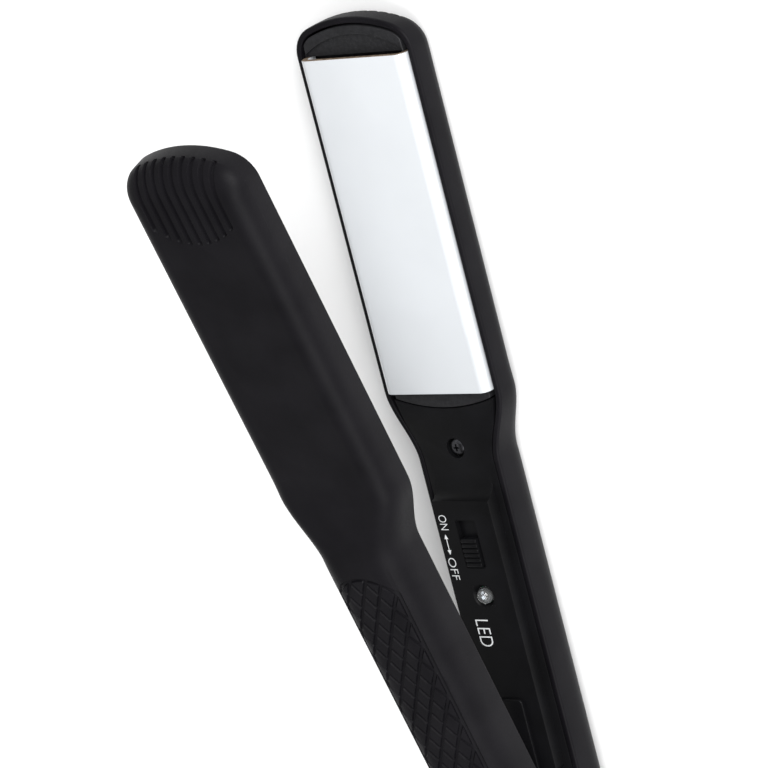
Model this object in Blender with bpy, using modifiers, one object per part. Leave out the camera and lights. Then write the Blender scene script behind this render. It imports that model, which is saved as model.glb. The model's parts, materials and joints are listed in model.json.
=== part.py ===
"""Hair-straightening iron: two hinged arms with ceramic-coated heating plates.

Both arms are modelled in the same arm frame and then placed by an empty on the
hinge axis: X runs from the hinge to the tip, Y across the arm, and Z=0 is the
plane where the two closed plates meet. The arm's outer face is at negative Z.
The upper arm is the same arm turned over and opened about the hinge.
"""

import math

import bmesh
import bpy
from mathutils import Matrix, Vector

MM = 0.001

# --- driving dimensions -------------------------------------------------------
OPEN_ANGLE = math.radians(15.63)

# plan outline of an arm
HEAD_HALF = 21.5 * MM
HANDLE_HALF_FRONT = 15.0 * MM
HANDLE_HALF_REAR = 15.2 * MM
NECK_REAR_X = 132.0 * MM
NECK_FRONT_X = 153.8 * MM
TIP_X = 268.2 * MM
TIP_CORNER = 9.0 * MM
TIP_ARC = 45.0 * MM
TIP_ROUND = 9.0 * MM
TAIL_X = -16.0 * MM
TAIL_CORNER = 12.0 * MM
TAIL_ARC = 22.0 * MM

# section of an arm
RIM = 2.9 * MM
HEAD_DEPTH = 14.5 * MM
HANDLE_DEPTH = 18.6 * MM
HEAD_EDGE = 6.4 * MM
HANDLE_EDGE = 9.1 * MM
BULGE_REAR_X = 128.0 * MM
BULGE_FRONT_X = 160.0 * MM
WALL = 1.9 * MM
GAP = 0.3 * MM

# heating plate and what carries it
PLATE_REAR_X = 154.0 * MM
PLATE_FRONT_X = 256.8 * MM
PLATE_HALF = 19.1 * MM
PLATE_TOP = -0.15 * MM
PLATE_THICK = 1.8 * MM
PLATE_FOLD = 3.0 * MM
PLATE_SKIRT = -6.5 * MM
FLOAT_TRAVEL = 1.2 * MM
FRAME_TOP = -8.6 * MM
FRAME_BOTTOM = -9.8 * MM
FRAME_HALF = 18.2 * MM
CRESCENT_REAR_X = 148.8 * MM
CRESCENT_REAR_ARC = 56.0 * MM
CRESCENT_FRONT_X = 263.1 * MM
CRESCENT_FRONT_ARC = 33.3 * MM
CRESCENT_SINK = 0.8 * MM
HEATER_REAR_X = 172.0 * MM
HEATER_FRONT_X = 239.0 * MM

# inner covers and the raised switch panel of the lower one
COVER_REAR_X = 9.5 * MM
COVER_THICK = 2.0 * MM
PANEL_HALF = 10.4 * MM
PANEL_TOP = 1.35 * MM
PANEL_REAR_X = 34.0 * MM
PANEL_FRONT_X = 121.0 * MM
PANEL_RAMP_X = 126.3 * MM
PANEL_CORNER = 2.0 * MM
PANEL_ROOF = 1.5 * MM
STEP_FRONT_X = 58.0 * MM
STEP_HALF = 4.5 * MM
STEP_TOP = 2.2 * MM

# slide switch and signal lamp
SLOT_REAR_X = 100.0 * MM
SLOT_FRONT_X = 114.8 * MM
SLOT_HALF = 3.4 * MM
KNOB_LENGTH = 9.1 * MM
KNOB_HALF = 2.8 * MM
KNOB_TOP = 2.2 * MM
KNOB_RIBS = 6
LAMP_X = 90.8 * MM
LAMP_RADIUS = 2.5 * MM
LAMP_TOP = 3.0 * MM
LAMP_RING = 3.5 * MM

# screws, and the posts and bosses that take them
NECK_SCREW_X = 136.0 * MM
REAR_SCREW_X = 24.0 * MM
SCREW_HEAD = 2.5 * MM
POST_RADIUS = 3.2 * MM
BOSS_RADIUS = 4.2 * MM
BOSS_FOOT = -8.0 * MM
SEAT_RADIUS = 3.1 * MM

# hinge
PIN_RADIUS = 1.5 * MM
EAR_RADIUS = 7.5 * MM
EAR_INSIDE = 11.4 * MM
EAR_OUTSIDE = 14.6 * MM
KNUCKLE_RADIUS = 6.5 * MM
KNUCKLE_INSIDE = 8.0 * MM
KNUCKLE_OUTSIDE = 11.0 * MM
KNUCKLE_FOOT = -16.8 * MM
SPRING_WIRE = 0.6 * MM
SPRING_RADIUS = 3.2 * MM
SPRING_TURNS = 5
SPRING_HALF = 5.4 * MM

# cord outlet
OUTLET_Z = -8.9 * MM
OUTLET_HOLE = 4.9 * MM
CORD_HOLE = 3.4 * MM
FLANGE_RADIUS = 5.8 * MM
FLANGE_SEAT_X = -13.2 * MM
FLANGE_THICK = 1.5 * MM

ROUND = 32


# --- small tools --------------------------------------------------------------
def clear_scene():
    for old in list(bpy.data.objects):
        bpy.data.objects.remove(old, do_unlink=True)


def new_collection(name):
    collection = bpy.data.collections.new(name)
    bpy.context.scene.collection.children.link(collection)
    return collection


def new_empty(name, parent=None, location=(0, 0, 0), rotation=(0, 0, 0)):
    empty = bpy.data.objects.new(name, None)
    empty.empty_display_size = 0.01
    empty.parent = parent
    empty.location = location
    empty.rotation_euler = rotation
    PARTS.objects.link(empty)
    return empty


def new_material(name, colour, roughness, metallic=0.0):
    material = bpy.data.materials.new(name)
    material.use_nodes = True
    shader = material.node_tree.nodes["Principled BSDF"]
    shader.inputs["Base Color"].default_value = (*colour, 1.0)
    shader.inputs["Roughness"].default_value = roughness
    shader.inputs["Metallic"].default_value = metallic
    return material


def finish_part(part, material, frame):
    """Hangs a finished piece on its arm and gives it its material."""
    part.parent = frame
    part.data.materials.append(material)
    part.data.shade_smooth()
    part.data.set_sharp_from_angle(angle=math.radians(35))
    return part


def mesh_object(name, mesh, collection=None):
    made = bpy.data.objects.new(name, mesh)
    (collection or PARTS).objects.link(made)
    return made


def from_bmesh(name, work):
    bmesh.ops.recalc_face_normals(work, faces=work.faces)
    mesh = bpy.data.meshes.new(name)
    work.to_mesh(mesh)
    work.free()
    return mesh_object(name, mesh)


def box(name, x, y, z):
    """A block between two values on each axis."""
    work = bmesh.new()
    size = (x[1] - x[0], y[1] - y[0], z[1] - z[0])
    middle = ((x[0] + x[1]) / 2, (y[0] + y[1]) / 2, (z[0] + z[1]) / 2)
    place = Matrix.Translation(middle) @ Matrix.Diagonal((*size, 1.0))
    bmesh.ops.create_cube(work, size=1.0, matrix=place)
    return from_bmesh(name, work)


def rod(name, radius, start, end, end_radius=None, sides=ROUND):
    """A round bar, or a cone when it ends in another radius."""
    start = Vector(start)
    end = Vector(end)
    turn = Vector((0, 0, 1)).rotation_difference(end - start).to_matrix().to_4x4()
    work = bmesh.new()
    bmesh.ops.create_cone(
        work,
        cap_ends=True,
        segments=sides,
        radius1=radius,
        radius2=radius if end_radius is None else end_radius,
        depth=(end - start).length,
        matrix=Matrix.Translation((start + end) / 2) @ turn,
    )
    return from_bmesh(name, work)


def to_mesh(curve_object):
    """A curve's solid as a mesh object with its caps welded on."""
    seen = curve_object.evaluated_get(bpy.context.evaluated_depsgraph_get())
    mesh = bpy.data.meshes.new_from_object(seen)
    work = bmesh.new()
    work.from_mesh(mesh)
    bmesh.ops.remove_doubles(work, verts=work.verts, dist=1e-7)
    bmesh.ops.recalc_face_normals(work, faces=work.faces)
    work.to_mesh(mesh)
    work.free()
    name = curve_object.name
    place = curve_object.matrix_world.copy()
    bpy.data.objects.remove(curve_object, do_unlink=True)
    made = mesh_object(name, mesh)
    made.matrix_world = place
    return made


def prism(name, outline, low, high):
    """A flat outline in X and Y, raised from one height to another."""
    curve = bpy.data.curves.new(name, "CURVE")
    curve.dimensions = "2D"
    curve.fill_mode = "BOTH"
    curve.extrude = (high - low) / 2
    spline = curve.splines.new("POLY")
    spline.points.add(len(outline) - 1)
    for point, (x, y) in zip(spline.points, outline):
        point.co = (x, y, 0, 1)
    spline.use_cyclic_u = True
    made = bpy.data.objects.new(name, curve)
    PARTS.objects.link(made)
    bpy.context.view_layer.update()
    made = to_mesh(made)
    made.data.transform(Matrix.Translation((0, 0, (low + high) / 2)))
    return made


def wire(name, points, radius):
    """A round wire through its points."""
    curve = bpy.data.curves.new(name, "CURVE")
    curve.dimensions = "3D"
    curve.bevel_depth = radius
    curve.bevel_resolution = 1
    curve.use_fill_caps = True
    spline = curve.splines.new("POLY")
    spline.points.add(len(points) - 1)
    for point, place in zip(spline.points, points):
        point.co = (*place, 1)
    made = bpy.data.objects.new(name, curve)
    PARTS.objects.link(made)
    bpy.context.view_layer.update()
    return to_mesh(made)


def turned(name, profile):
    """A profile of (radius, height) pairs, top to bottom, turned about Z."""
    mesh = bpy.data.meshes.new(name)
    corners = [(radius, 0, height) for radius, height in profile]
    edges = [(i, i + 1) for i in range(len(profile) - 1)]
    if profile[0][0] > 0:
        edges.append((len(profile) - 1, 0))
    mesh.from_pydata(corners, edges, [])
    made = mesh_object(name, mesh)
    screw = made.modifiers.new("turn", "SCREW")
    screw.steps = ROUND
    screw.render_steps = ROUND
    screw.use_merge_vertices = True
    screw.merge_threshold = 1e-6
    return made


def boolean(part, other, operation):
    change = part.modifiers.new(other.name, "BOOLEAN")
    change.operation = operation
    change.solver = "EXACT"
    change.object = other
    PARTS.objects.unlink(other)
    CUTTERS.objects.link(other)
    other.parent = part.parent
    other.hide_render = True
    other.display_type = "WIRE"
    return part


def cut(part, *others):
    for other in others:
        boolean(part, other, "DIFFERENCE")
    return part


def join(part, *others):
    for other in others:
        boolean(part, other, "UNION")
    return part


def bevel(part, width, segments=2, angle=40):
    rounding = part.modifiers.new("rounding", "BEVEL")
    rounding.width = width
    rounding.segments = segments
    rounding.limit_method = "ANGLE"
    rounding.angle_limit = math.radians(angle)
    return part


# --- outline and section of an arm --------------------------------------------
def blend(x, start, end):
    """Smooth step from 0 at start to 1 at end."""
    t = min(max((x - start) / (end - start), 0.0), 1.0)
    return t * t * (3 - 2 * t)


def half_width(x):
    along = min(max(x / NECK_REAR_X, 0.0), 1.0)
    handle = HANDLE_HALF_REAR + (HANDLE_HALF_FRONT - HANDLE_HALF_REAR) * along
    return handle + (HEAD_HALF - handle) * blend(x, NECK_REAR_X, NECK_FRONT_X)


def depth(x):
    return HANDLE_DEPTH + (HEAD_DEPTH - HANDLE_DEPTH) * blend(x, BULGE_REAR_X, BULGE_FRONT_X)


def edge_radius(x):
    return HANDLE_EDGE + (HEAD_EDGE - HANDLE_EDGE) * blend(x, BULGE_REAR_X, BULGE_FRONT_X)


def blunt_end(end, half, corner, arc, side, steps=6):
    """Half of a blunt end, from the straight side round to the centre line."""
    middle = end - side * arc
    reach = math.sqrt((arc - corner) ** 2 - (half - corner) ** 2)
    turn = math.atan2(half - corner, reach)
    points = []
    for i in range(steps):
        angle = math.pi / 2 + (turn - math.pi / 2) * i / steps
        x = middle + side * (reach + corner * math.cos(angle))
        points.append((x, half - corner + corner * math.sin(angle)))
    for i in range(steps + 1):
        angle = turn * (1 - i / steps)
        points.append((middle + side * arc * math.cos(angle), arc * math.sin(angle)))
    return points


def side_stations():
    """Where the sides need a point: few on the straights, more round the neck."""
    handle = [x * MM for x in (9, 40, 75, 105)]
    first = BULGE_REAR_X
    neck = [first + (BULGE_FRONT_X - first) * i / 14 for i in range(15)]
    head = [x * MM for x in (190, 225)]
    return handle + neck + head


def half_outline(inset, tip_inset):
    """Half of the arm's outline, moved in by inset(x), from the tail's middle to the tip's."""
    rear = inset(0)
    tail = blunt_end(TAIL_X + rear, half_width(0) - rear, TAIL_CORNER - rear, TAIL_ARC - rear, -1)
    sides = [(x, half_width(x) - inset(x)) for x in side_stations()]
    return tail[::-1] + sides + tip_outline(inset(TIP_X), tip_inset)


def tip_outline(inset, tip_inset):
    """Half of the blunt tip, moved in by one amount at the sides and another at its end."""
    corner = TIP_CORNER - inset
    return blunt_end(TIP_X - tip_inset, HEAD_HALF - inset, corner, TIP_ARC - inset, 1)


def closed(half):
    """A whole outline from its +Y half."""
    mirrored = [(x, -y) for x, y in reversed(half) if y > 1e-7]
    return half + mirrored


def arc_across(apex_x, radius, half, side, steps=10):
    """An arc across the arm whose middle is at apex_x, from +half to -half."""
    points = []
    for i in range(steps + 1):
        y = half * (1 - 2 * i / steps)
        points.append((apex_x - side * (radius - math.sqrt(radius**2 - y**2)), y))
    return points


# --- shells -------------------------------------------------------------------
def half_trough(work, wall):
    """Half of a trough set in by wall, as columns of corners from its rim to the middle."""

    def inset_at(angle):
        return lambda x: wall + (edge_radius(x) - wall) * (1 - math.cos(angle))

    def ring(angle):
        return half_outline(inset_at(angle), wall + (TIP_ROUND - wall) * (1 - math.cos(angle)))

    angles = [math.pi / 2 * i / 6 for i in range(7)]
    rings = [ring(angle) for angle in angles]
    columns = []
    for i, places in enumerate(zip(*rings)):
        column = [work.verts.new((*places[0], -RIM))]
        for angle, (x, y) in zip(angles, places):
            z = edge_radius(x) - depth(x) - (edge_radius(x) - wall) * math.sin(angle)
            column.append(work.verts.new((x, y, z)))
        if 0 < i < len(rings[0]) - 1:
            column.append(work.verts.new((x, y / 2, wall - depth(x))))
            column.append(work.verts.new((x, 0, wall - depth(x))))
        columns.append(column)
    for first, second in zip(columns, columns[1:]):
        rows = min(len(first), len(second))
        for k in range(rows - 1):
            work.faces.new((first[k], second[k], second[k + 1], first[k + 1]))
        if len(first) != len(second):
            longer, shorter = sorted((first, second), key=len, reverse=True)
            work.faces.new((longer[rows - 1], longer[rows], shorter[-1]))
            work.faces.new((longer[rows], longer[rows + 1], shorter[-1]))
    return columns


def shell_skin(name):
    """The wall of an arm: an outer and an inner trough joined along the rim."""
    work = bmesh.new()
    outer = half_trough(work, 0.0)
    inner = half_trough(work, WALL)
    for i in range(len(outer) - 1):
        work.faces.new((outer[i][0], inner[i][0], inner[i + 1][0], outer[i + 1][0]))
    skin = from_bmesh(name, work)
    lowest = min(skin.data.polygons, key=lambda face: face.center.z)
    if lowest.normal.z > 0:
        skin.data.flip_normals()
    mirror = skin.modifiers.new("other half", "MIRROR")
    mirror.use_axis = (False, True, False)
    mirror.merge_threshold = 1e-5
    return skin


def screw_post(name, x):
    floor = -depth(x) + WALL / 2
    return rod(name, POST_RADIUS, (x, 0, floor), (x, 0, BOSS_FOOT - GAP))


def frame_rib(name, x):
    half = HEAD_HALF - HEAD_EDGE
    return box(name, (x, x + 2 * MM), (-half, half), (-HEAD_DEPTH + WALL / 2, FRAME_BOTTOM - GAP))


def shell(name, frame):
    """A trough with the posts that the cover screws bite and the plate frame's ribs."""
    skin = shell_skin(name)
    skin.parent = frame
    for x in (NECK_SCREW_X, REAR_SCREW_X):
        tag = f"{name}_post_{round(x / MM)}"
        join(skin, screw_post(tag, x))
        pilot = rod(f"{tag}_hole", 1.3 * MM, (x, 0, -15.5 * MM), (x, 0, -7.0 * MM), sides=16)
        cut(skin, pilot)
    for x in (180 * MM, 228 * MM):
        join(skin, frame_rib(f"{name}_rib_{round(x / MM)}", x))
    return finish_part(skin, BLACK_SHELL, frame)


def hinge_ear(name, side, inside, outside, radius, foot):
    """A disc round the hinge axis with a foot that joins it to its shell."""
    y = sorted((side * inside, side * outside))
    disc = rod(name, radius, (0, y[0], 0), (0, y[1], 0))
    return disc, box(f"{name}_foot", (-radius * 0.6, radius * 0.6), y, (foot, 0))


def lower_shell(frame):
    part = shell("lower_outer_shell", frame)
    bore = rod("lower_pin_bore", PIN_RADIUS + 0.1 * MM, (0, -20 * MM, 0), (0, 20 * MM, 0), sides=24)
    for side, tag in ((1, "left"), (-1, "right")):
        join(part, *hinge_ear(f"lower_ear_{tag}", side, EAR_INSIDE, EAR_OUTSIDE, EAR_RADIUS, -9 * MM))
        face = side * EAR_OUTSIDE
        seat = rod(
            f"cap_seat_{tag}",
            4.4 * MM,
            (0, face - side * 1.2 * MM, 0),
            (0, face + side * 3 * MM, 0),
        )
        cut(part, seat)
    outlet = rod("outlet_hole", OUTLET_HOLE, (-22 * MM, 0, OUTLET_Z), (-8 * MM, 0, OUTLET_Z))
    seat_start = (FLANGE_SEAT_X, 0, OUTLET_Z)
    seat = rod("outlet_seat", FLANGE_RADIUS + 0.4 * MM, seat_start, (-7 * MM, 0, OUTLET_Z))
    return cut(part, bore, outlet, seat)


def upper_shell(frame):
    part = shell("upper_outer_shell", frame)
    bore = rod("upper_pin_bore", PIN_RADIUS + 0.1 * MM, (0, -20 * MM, 0), (0, 20 * MM, 0), sides=24)
    for side, tag in ((1, "left"), (-1, "right")):
        y = side * (EAR_INSIDE - 0.2 * MM)
        notch = rod(f"ear_notch_{tag}", EAR_RADIUS + 0.4 * MM, (0, y, 0), (0, side * 20 * MM, 0))
        cut(part, notch)
        knuckle = hinge_ear(
            f"upper_knuckle_{tag}", side, KNUCKLE_INSIDE, KNUCKLE_OUTSIDE, KNUCKLE_RADIUS, KNUCKLE_FOOT
        )
        join(part, *knuckle)
    return cut(part, bore)


# --- inner covers -------------------------------------------------------------
def cover_sheet(name):
    inset = WALL + GAP
    inside = [(COVER_REAR_X, half_width(COVER_REAR_X) - inset)]
    for x in side_stations()[1:]:
        if x < CRESCENT_REAR_X - 4 * MM:
            inside.append((x, half_width(x) - inset))
    front_half = half_width(CRESCENT_REAR_X) - inset
    front = arc_across(CRESCENT_REAR_X - GAP, CRESCENT_REAR_ARC, front_half, -1)
    outline = inside + front + [(x, -y) for x, y in reversed(inside)]
    return prism(name, outline, -RIM - COVER_THICK, -RIM)


def screw_boss(part, x):
    """A counterbored boss: the head sits just under the cover's face."""
    tag = f"{part.name}_boss_{round(x / MM)}"
    join(part, rod(tag, BOSS_RADIUS, (x, 0, BOSS_FOOT), (x, 0, -RIM - COVER_THICK / 2)))
    seat = rod(f"{tag}_seat", SEAT_RADIUS, (x, 0, -5.0 * MM), (x, 0, 0))
    hole = rod(f"{tag}_hole", 1.4 * MM, (x, 0, -9.0 * MM), (x, 0, -4.0 * MM), sides=16)
    return cut(part, seat, hole)


def rounded_rectangle(x, half, corner, steps=4):
    points = []
    for cx, cy, start in (
        (x[1] - corner, half - corner, 0),
        (x[0] + corner, half - corner, 90),
        (x[0] + corner, -half + corner, 180),
        (x[1] - corner, -half + corner, 270),
    ):
        for i in range(steps + 1):
            angle = math.radians(start + 90 * i / steps)
            points.append((cx + corner * math.cos(angle), cy + corner * math.sin(angle)))
    return points


def lower_cover(frame):
    part = cover_sheet("lower_inner_cover")
    part.parent = frame
    block_outline = rounded_rectangle((PANEL_REAR_X, PANEL_RAMP_X), PANEL_HALF, PANEL_CORNER)
    bottom = -RIM - COVER_THICK / 2
    block = prism("switch_panel", block_outline, bottom, PANEL_TOP)
    block.parent = frame
    rise = PANEL_TOP + RIM
    run = PANEL_RAMP_X - PANEL_FRONT_X
    ramp_radius = (run**2 + rise**2) / (2 * rise)
    ramp_z = ramp_radius - RIM
    ramp = rod(
        "panel_ramp",
        ramp_radius,
        (PANEL_RAMP_X, -15 * MM, ramp_z),
        (PANEL_RAMP_X, 15 * MM, ramp_z),
        sides=48,
    )
    cut(block, ramp)
    step_outline = rounded_rectangle((PANEL_REAR_X, STEP_FRONT_X), STEP_HALF, 1.5 * MM)
    step = prism("panel_step", step_outline, PANEL_TOP - 1 * MM, STEP_TOP)
    join(part, block, step)
    hollow_x = (PANEL_REAR_X + PANEL_ROOF, PANEL_FRONT_X - 0.5 * MM)
    hollow = rounded_rectangle(hollow_x, PANEL_HALF - PANEL_ROOF, PANEL_CORNER / 2)
    cut(part, prism("panel_hollow", hollow, -8 * MM, PANEL_TOP - PANEL_ROOF))
    window = rounded_rectangle((SLOT_REAR_X, SLOT_FRONT_X), SLOT_HALF, 0.6 * MM, steps=2)
    cut(part, prism("switch_window", window, -2 * MM, 3 * MM))
    lamp_hole = rod("lamp_hole", LAMP_RADIUS + GAP, (LAMP_X, 0, -2 * MM), (LAMP_X, 0, 3 * MM))
    sink_low = (LAMP_X, 0, PANEL_TOP - 1.0 * MM)
    sink_high = (LAMP_X, 0, PANEL_TOP + 1e-5)
    sink = rod("lamp_sink", LAMP_RADIUS + GAP, sink_low, sink_high, end_radius=LAMP_RING + GAP)
    cut(part, lamp_hole, sink)
    for x in (NECK_SCREW_X, REAR_SCREW_X):
        screw_boss(part, x)
    return finish_part(part, BLACK_COVER, frame)


def upper_cover(frame):
    part = cover_sheet("upper_inner_cover")
    part.parent = frame
    pocket_bottom = (LAMP_X, 0, -RIM - 1.2 * MM)
    cut(part, rod("lamp_pocket", 4.5 * MM, pocket_bottom, (LAMP_X, 0, 0)))
    for x in (NECK_SCREW_X, REAR_SCREW_X):
        screw_boss(part, x)
    return finish_part(part, BLACK_COVER, frame)


# --- heating head -------------------------------------------------------------
def plate_frame(arm, frame):
    """The heat-resistant tray under the plate, with a half moon at each end."""
    tip = [(PLATE_FRONT_X - 1 * MM, FRAME_HALF)]
    inset = WALL + 2 * GAP
    tip += [(x, y) for x, y in tip_outline(inset, inset) if y < FRAME_HALF]
    rear = arc_across(CRESCENT_REAR_X, CRESCENT_REAR_ARC, FRAME_HALF - 0.6 * MM, -1)
    outline = closed(tip)
    part = prism(f"{arm}_plate_frame", outline + rear[::-1], FRAME_BOTTOM, -RIM)
    part.parent = frame
    well_x = (PLATE_REAR_X - GAP, PLATE_FRONT_X + GAP)
    cut(part, box(f"{arm}_plate_well", well_x, (-25 * MM, 25 * MM), (FRAME_TOP, 5 * MM)))
    lens_front = arc_across(CRESCENT_FRONT_X, CRESCENT_FRONT_ARC, 17.7 * MM, 1)
    moon = lens_front + [(PLATE_FRONT_X - 2 * MM, -17.7 * MM), (PLATE_FRONT_X - 2 * MM, 17.7 * MM)]
    cut(part, prism(f"{arm}_front_moon", moon, -RIM - CRESCENT_SINK, 2 * MM))
    lead_way = box(
        f"{arm}_lead_way",
        (CRESCENT_REAR_X - 2 * MM, PLATE_REAR_X + 2 * MM),
        (-8 * MM, 8 * MM),
        (FRAME_TOP + 0.4 * MM, -5.2 * MM),
    )
    cut(part, lead_way)
    return finish_part(part, HEAT_PLASTIC, frame)


def plate_section(thick_in):
    """Half of the plate's outer line, from the middle to the foot of its skirt."""
    half = PLATE_HALF - thick_in
    top = PLATE_TOP - thick_in
    radius = PLATE_FOLD - thick_in
    points = [(0.0, top)]
    for i in range(7):
        angle = math.pi / 2 * (1 - i / 6)
        points.append((half - radius + radius * math.cos(angle), top - radius + radius * math.sin(angle)))
    points.append((half, PLATE_SKIRT))
    return points


def heating_plate(arm, frame):
    """A channel: a flat face with two rounded long edges and short skirts."""
    mesh = bpy.data.meshes.new(f"{arm}_plate")
    half = plate_section(0.0)
    across = [(-y, z) for y, z in half[:0:-1]] + half
    corners = [(x, y, z) for x in (PLATE_REAR_X, PLATE_FRONT_X) for y, z in across]
    count = len(across)
    faces = [(i, i + count, i + count + 1, i + 1) for i in range(count - 1)]
    mesh.from_pydata(corners, [], faces)
    work = bmesh.new()
    work.from_mesh(mesh)
    bmesh.ops.recalc_face_normals(work, faces=work.faces)
    if sum(face.normal.z for face in work.faces) < 0:
        bmesh.ops.reverse_faces(work, faces=work.faces)
    work.to_mesh(mesh)
    work.free()
    part = mesh_object(f"{arm}_plate", mesh)
    wall = part.modifiers.new("sheet", "SOLIDIFY")
    wall.thickness = PLATE_THICK
    wall.offset = -1
    wall.use_even_offset = True
    return finish_part(part, CERAMIC, frame)


def heater(arm, frame):
    """Heat spreader, heating element and the spring clip that holds them together."""
    x = (HEATER_REAR_X, HEATER_FRONT_X)
    under = PLATE_TOP - PLATE_THICK - GAP
    spreader = box(f"{arm}_heat_spreader", x, (-12 * MM, 12 * MM), (under - 1.5 * MM, under))
    finish_part(spreader, ALUMINIUM, frame)
    top = under - 1.5 * MM - GAP
    element_x = (x[0] + 6 * MM, x[1] - 6 * MM)
    element = box(f"{arm}_heating_element", element_x, (-7 * MM, 7 * MM), (top - 1.8 * MM, top))
    finish_part(bevel(element, 0.3 * MM, 1), CERAMIC_CORE, frame)
    low = top - 1.8 * MM - GAP
    middle = (x[0] + x[1]) / 2
    clip_x = (middle - 5 * MM, middle + 5 * MM)
    clip = box(f"{arm}_element_clip", clip_x, (-9 * MM, 9 * MM), (low - 0.6 * MM, low))
    clip.parent = frame
    for side in (1, -1):
        y = sorted((side * 8.4 * MM, side * 9 * MM))
        arm_top = under - 1.5 * MM - GAP
        join(clip, box(f"{arm}_clip_arm_{'left' if side > 0 else 'right'}", clip_x, y, (low - 0.3 * MM, arm_top)))
    finish_part(clip, SPRING_STEEL, frame)


def cushions(arm, frame):
    """Silicone cushions that let the plate give a little."""
    top = PLATE_TOP - PLATE_THICK - GAP
    for place, x in (("rear", 160 * MM), ("front", 243 * MM)):
        pad = box(f"{arm}_cushion_{place}", (x, x + 8 * MM), (-9 * MM, 9 * MM), (FRAME_TOP + GAP, top))
        finish_part(bevel(pad, 0.8 * MM, 1), SILICONE, frame)


# --- switch, lamp and board ---------------------------------------------------
def knob_centre():
    return SLOT_REAR_X + 0.2 * MM + KNOB_LENGTH / 2


def switch_knob(frame):
    """Ribbed thumb piece on a flange that keeps the slot shut along its travel."""
    centre = knob_centre()
    flange_top = PANEL_TOP - PANEL_ROOF - GAP
    flange_x = (centre - 10.2 * MM, centre + 10.0 * MM)
    part = box("switch_knob", flange_x, (-4.6 * MM, 4.6 * MM), (flange_top - 0.9 * MM, flange_top))
    part.parent = frame
    block_x = (centre - KNOB_LENGTH / 2, centre + KNOB_LENGTH / 2)
    block = box("knob_block", block_x, (-KNOB_HALF, KNOB_HALF), (flange_top - 0.4 * MM, KNOB_TOP))
    block.parent = frame
    pitch = KNOB_LENGTH / KNOB_RIBS
    for i in range(1, KNOB_RIBS):
        middle = block_x[0] + pitch * i
        groove_x = (middle - pitch * 0.22, middle + pitch * 0.22)
        cut(block, box(f"knob_groove_{i}", groove_x, (-4 * MM, 4 * MM), (KNOB_TOP - 0.9 * MM, 4 * MM)))
    stem = box("knob_stem", (centre - 1.2 * MM, centre + 1.2 * MM), (-1 * MM, 1 * MM), (-3.4 * MM, -1 * MM))
    join(part, block, stem)
    return finish_part(part, BLACK_KNOB, frame)


def switch_body(frame):
    centre = knob_centre()
    top = PANEL_TOP - PANEL_ROOF - GAP - 0.9 * MM - GAP
    part = box("switch_body", (SLOT_REAR_X - 4 * MM, 119 * MM), (-5 * MM, 5 * MM), (-8.3 * MM, top))
    part.parent = frame
    groove_x = (centre - 2 * MM, centre + 8 * MM)
    cut(part, box("switch_groove", groove_x, (-1.6 * MM, 1.6 * MM), (-4.2 * MM, 0)))
    return finish_part(part, DARK_NYLON, frame)


def signal_lamp(frame):
    part = rod("signal_lamp", LAMP_RADIUS, (LAMP_X, 0, -4 * MM), (LAMP_X, 0, LAMP_TOP - LAMP_RADIUS))
    part.parent = frame
    work = bmesh.new()
    place = Matrix.Translation((LAMP_X, 0, LAMP_TOP - LAMP_RADIUS))
    bmesh.ops.create_uvsphere(work, u_segments=ROUND, v_segments=12, radius=LAMP_RADIUS - 1e-6, matrix=place)
    dome = from_bmesh("lamp_dome", work)
    join(part, dome)
    for side, tag in ((1, "left"), (-1, "right")):
        y = side * 1.27 * MM
        leg = rod(f"lamp_leg_{tag}", 0.3 * MM, (LAMP_X, y, -8.3 * MM), (LAMP_X, y, -3 * MM), sides=8)
        join(part, leg)
    return finish_part(part, CLEAR_LENS, frame)


def circuit_board(frame):
    outline = rounded_rectangle((58 * MM, 122 * MM), 8.5 * MM, 1 * MM, steps=1)
    part = prism("circuit_board", outline, -10.2 * MM, -8.6 * MM)
    return finish_part(part, BOARD_GREEN, frame)


def thermal_fuse(frame):
    z = -6.2 * MM
    part = rod("thermal_fuse", 1.7 * MM, (66 * MM, 0, z), (77 * MM, 0, z), sides=16)
    part.parent = frame
    lead = rod("fuse_lead", 0.4 * MM, (62 * MM, 0, z), (81 * MM, 0, z), sides=8)
    join(part, lead)
    return finish_part(part, BRASS, frame)


def heater_leads(arm, frame):
    """Two insulated leads from the handle, past the screw post, to the heater."""
    for side, tag in ((1, "a"), (-1, "b")):
        y = side * 6 * MM
        route = [
            (124.0 * MM, side * 4 * MM, -7.0 * MM),
            (129.0 * MM, y, -7.0 * MM),
            (154.5 * MM, y, -7.0 * MM),
            (158.6 * MM, side * 10.6 * MM, -6.8 * MM),
            (171.0 * MM, side * 10.6 * MM, -6.9 * MM),
            (178.5 * MM, side * 8.3 * MM, -6.9 * MM),
        ]
        lead = wire(f"{arm}_lead_{tag}", route, 0.8 * MM)
        finish_part(lead, LEAD_SLEEVE, frame)


# --- fasteners and hinge ------------------------------------------------------
def cover_screw(name, x, frame):
    """Pan-head screw with a cross recess."""
    top = -RIM - 0.35 * MM
    under = -4.7 * MM
    profile = [(0, top), (SCREW_HEAD * 0.62, top - 0.12 * MM), (SCREW_HEAD * 0.92, top - 0.5 * MM)]
    profile += [(SCREW_HEAD, under), (1.0 * MM, under), (1.0 * MM, -13.6 * MM), (0, -14.6 * MM)]
    part = turned(name, profile)
    part.parent = frame
    part.location = (x, 0, 0)
    for tag, length, width in (("a", 1.5 * MM, 0.32 * MM), ("b", 0.32 * MM, 1.5 * MM)):
        slot = box(f"{name}_slot_{tag}", (-length, length), (-width, width), (top - 0.9 * MM, 1 * MM))
        cut(part, slot)
        slot.location = (x, 0, 0)
    part.data.materials.append(SCREW_BLACK)
    return part


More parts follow.
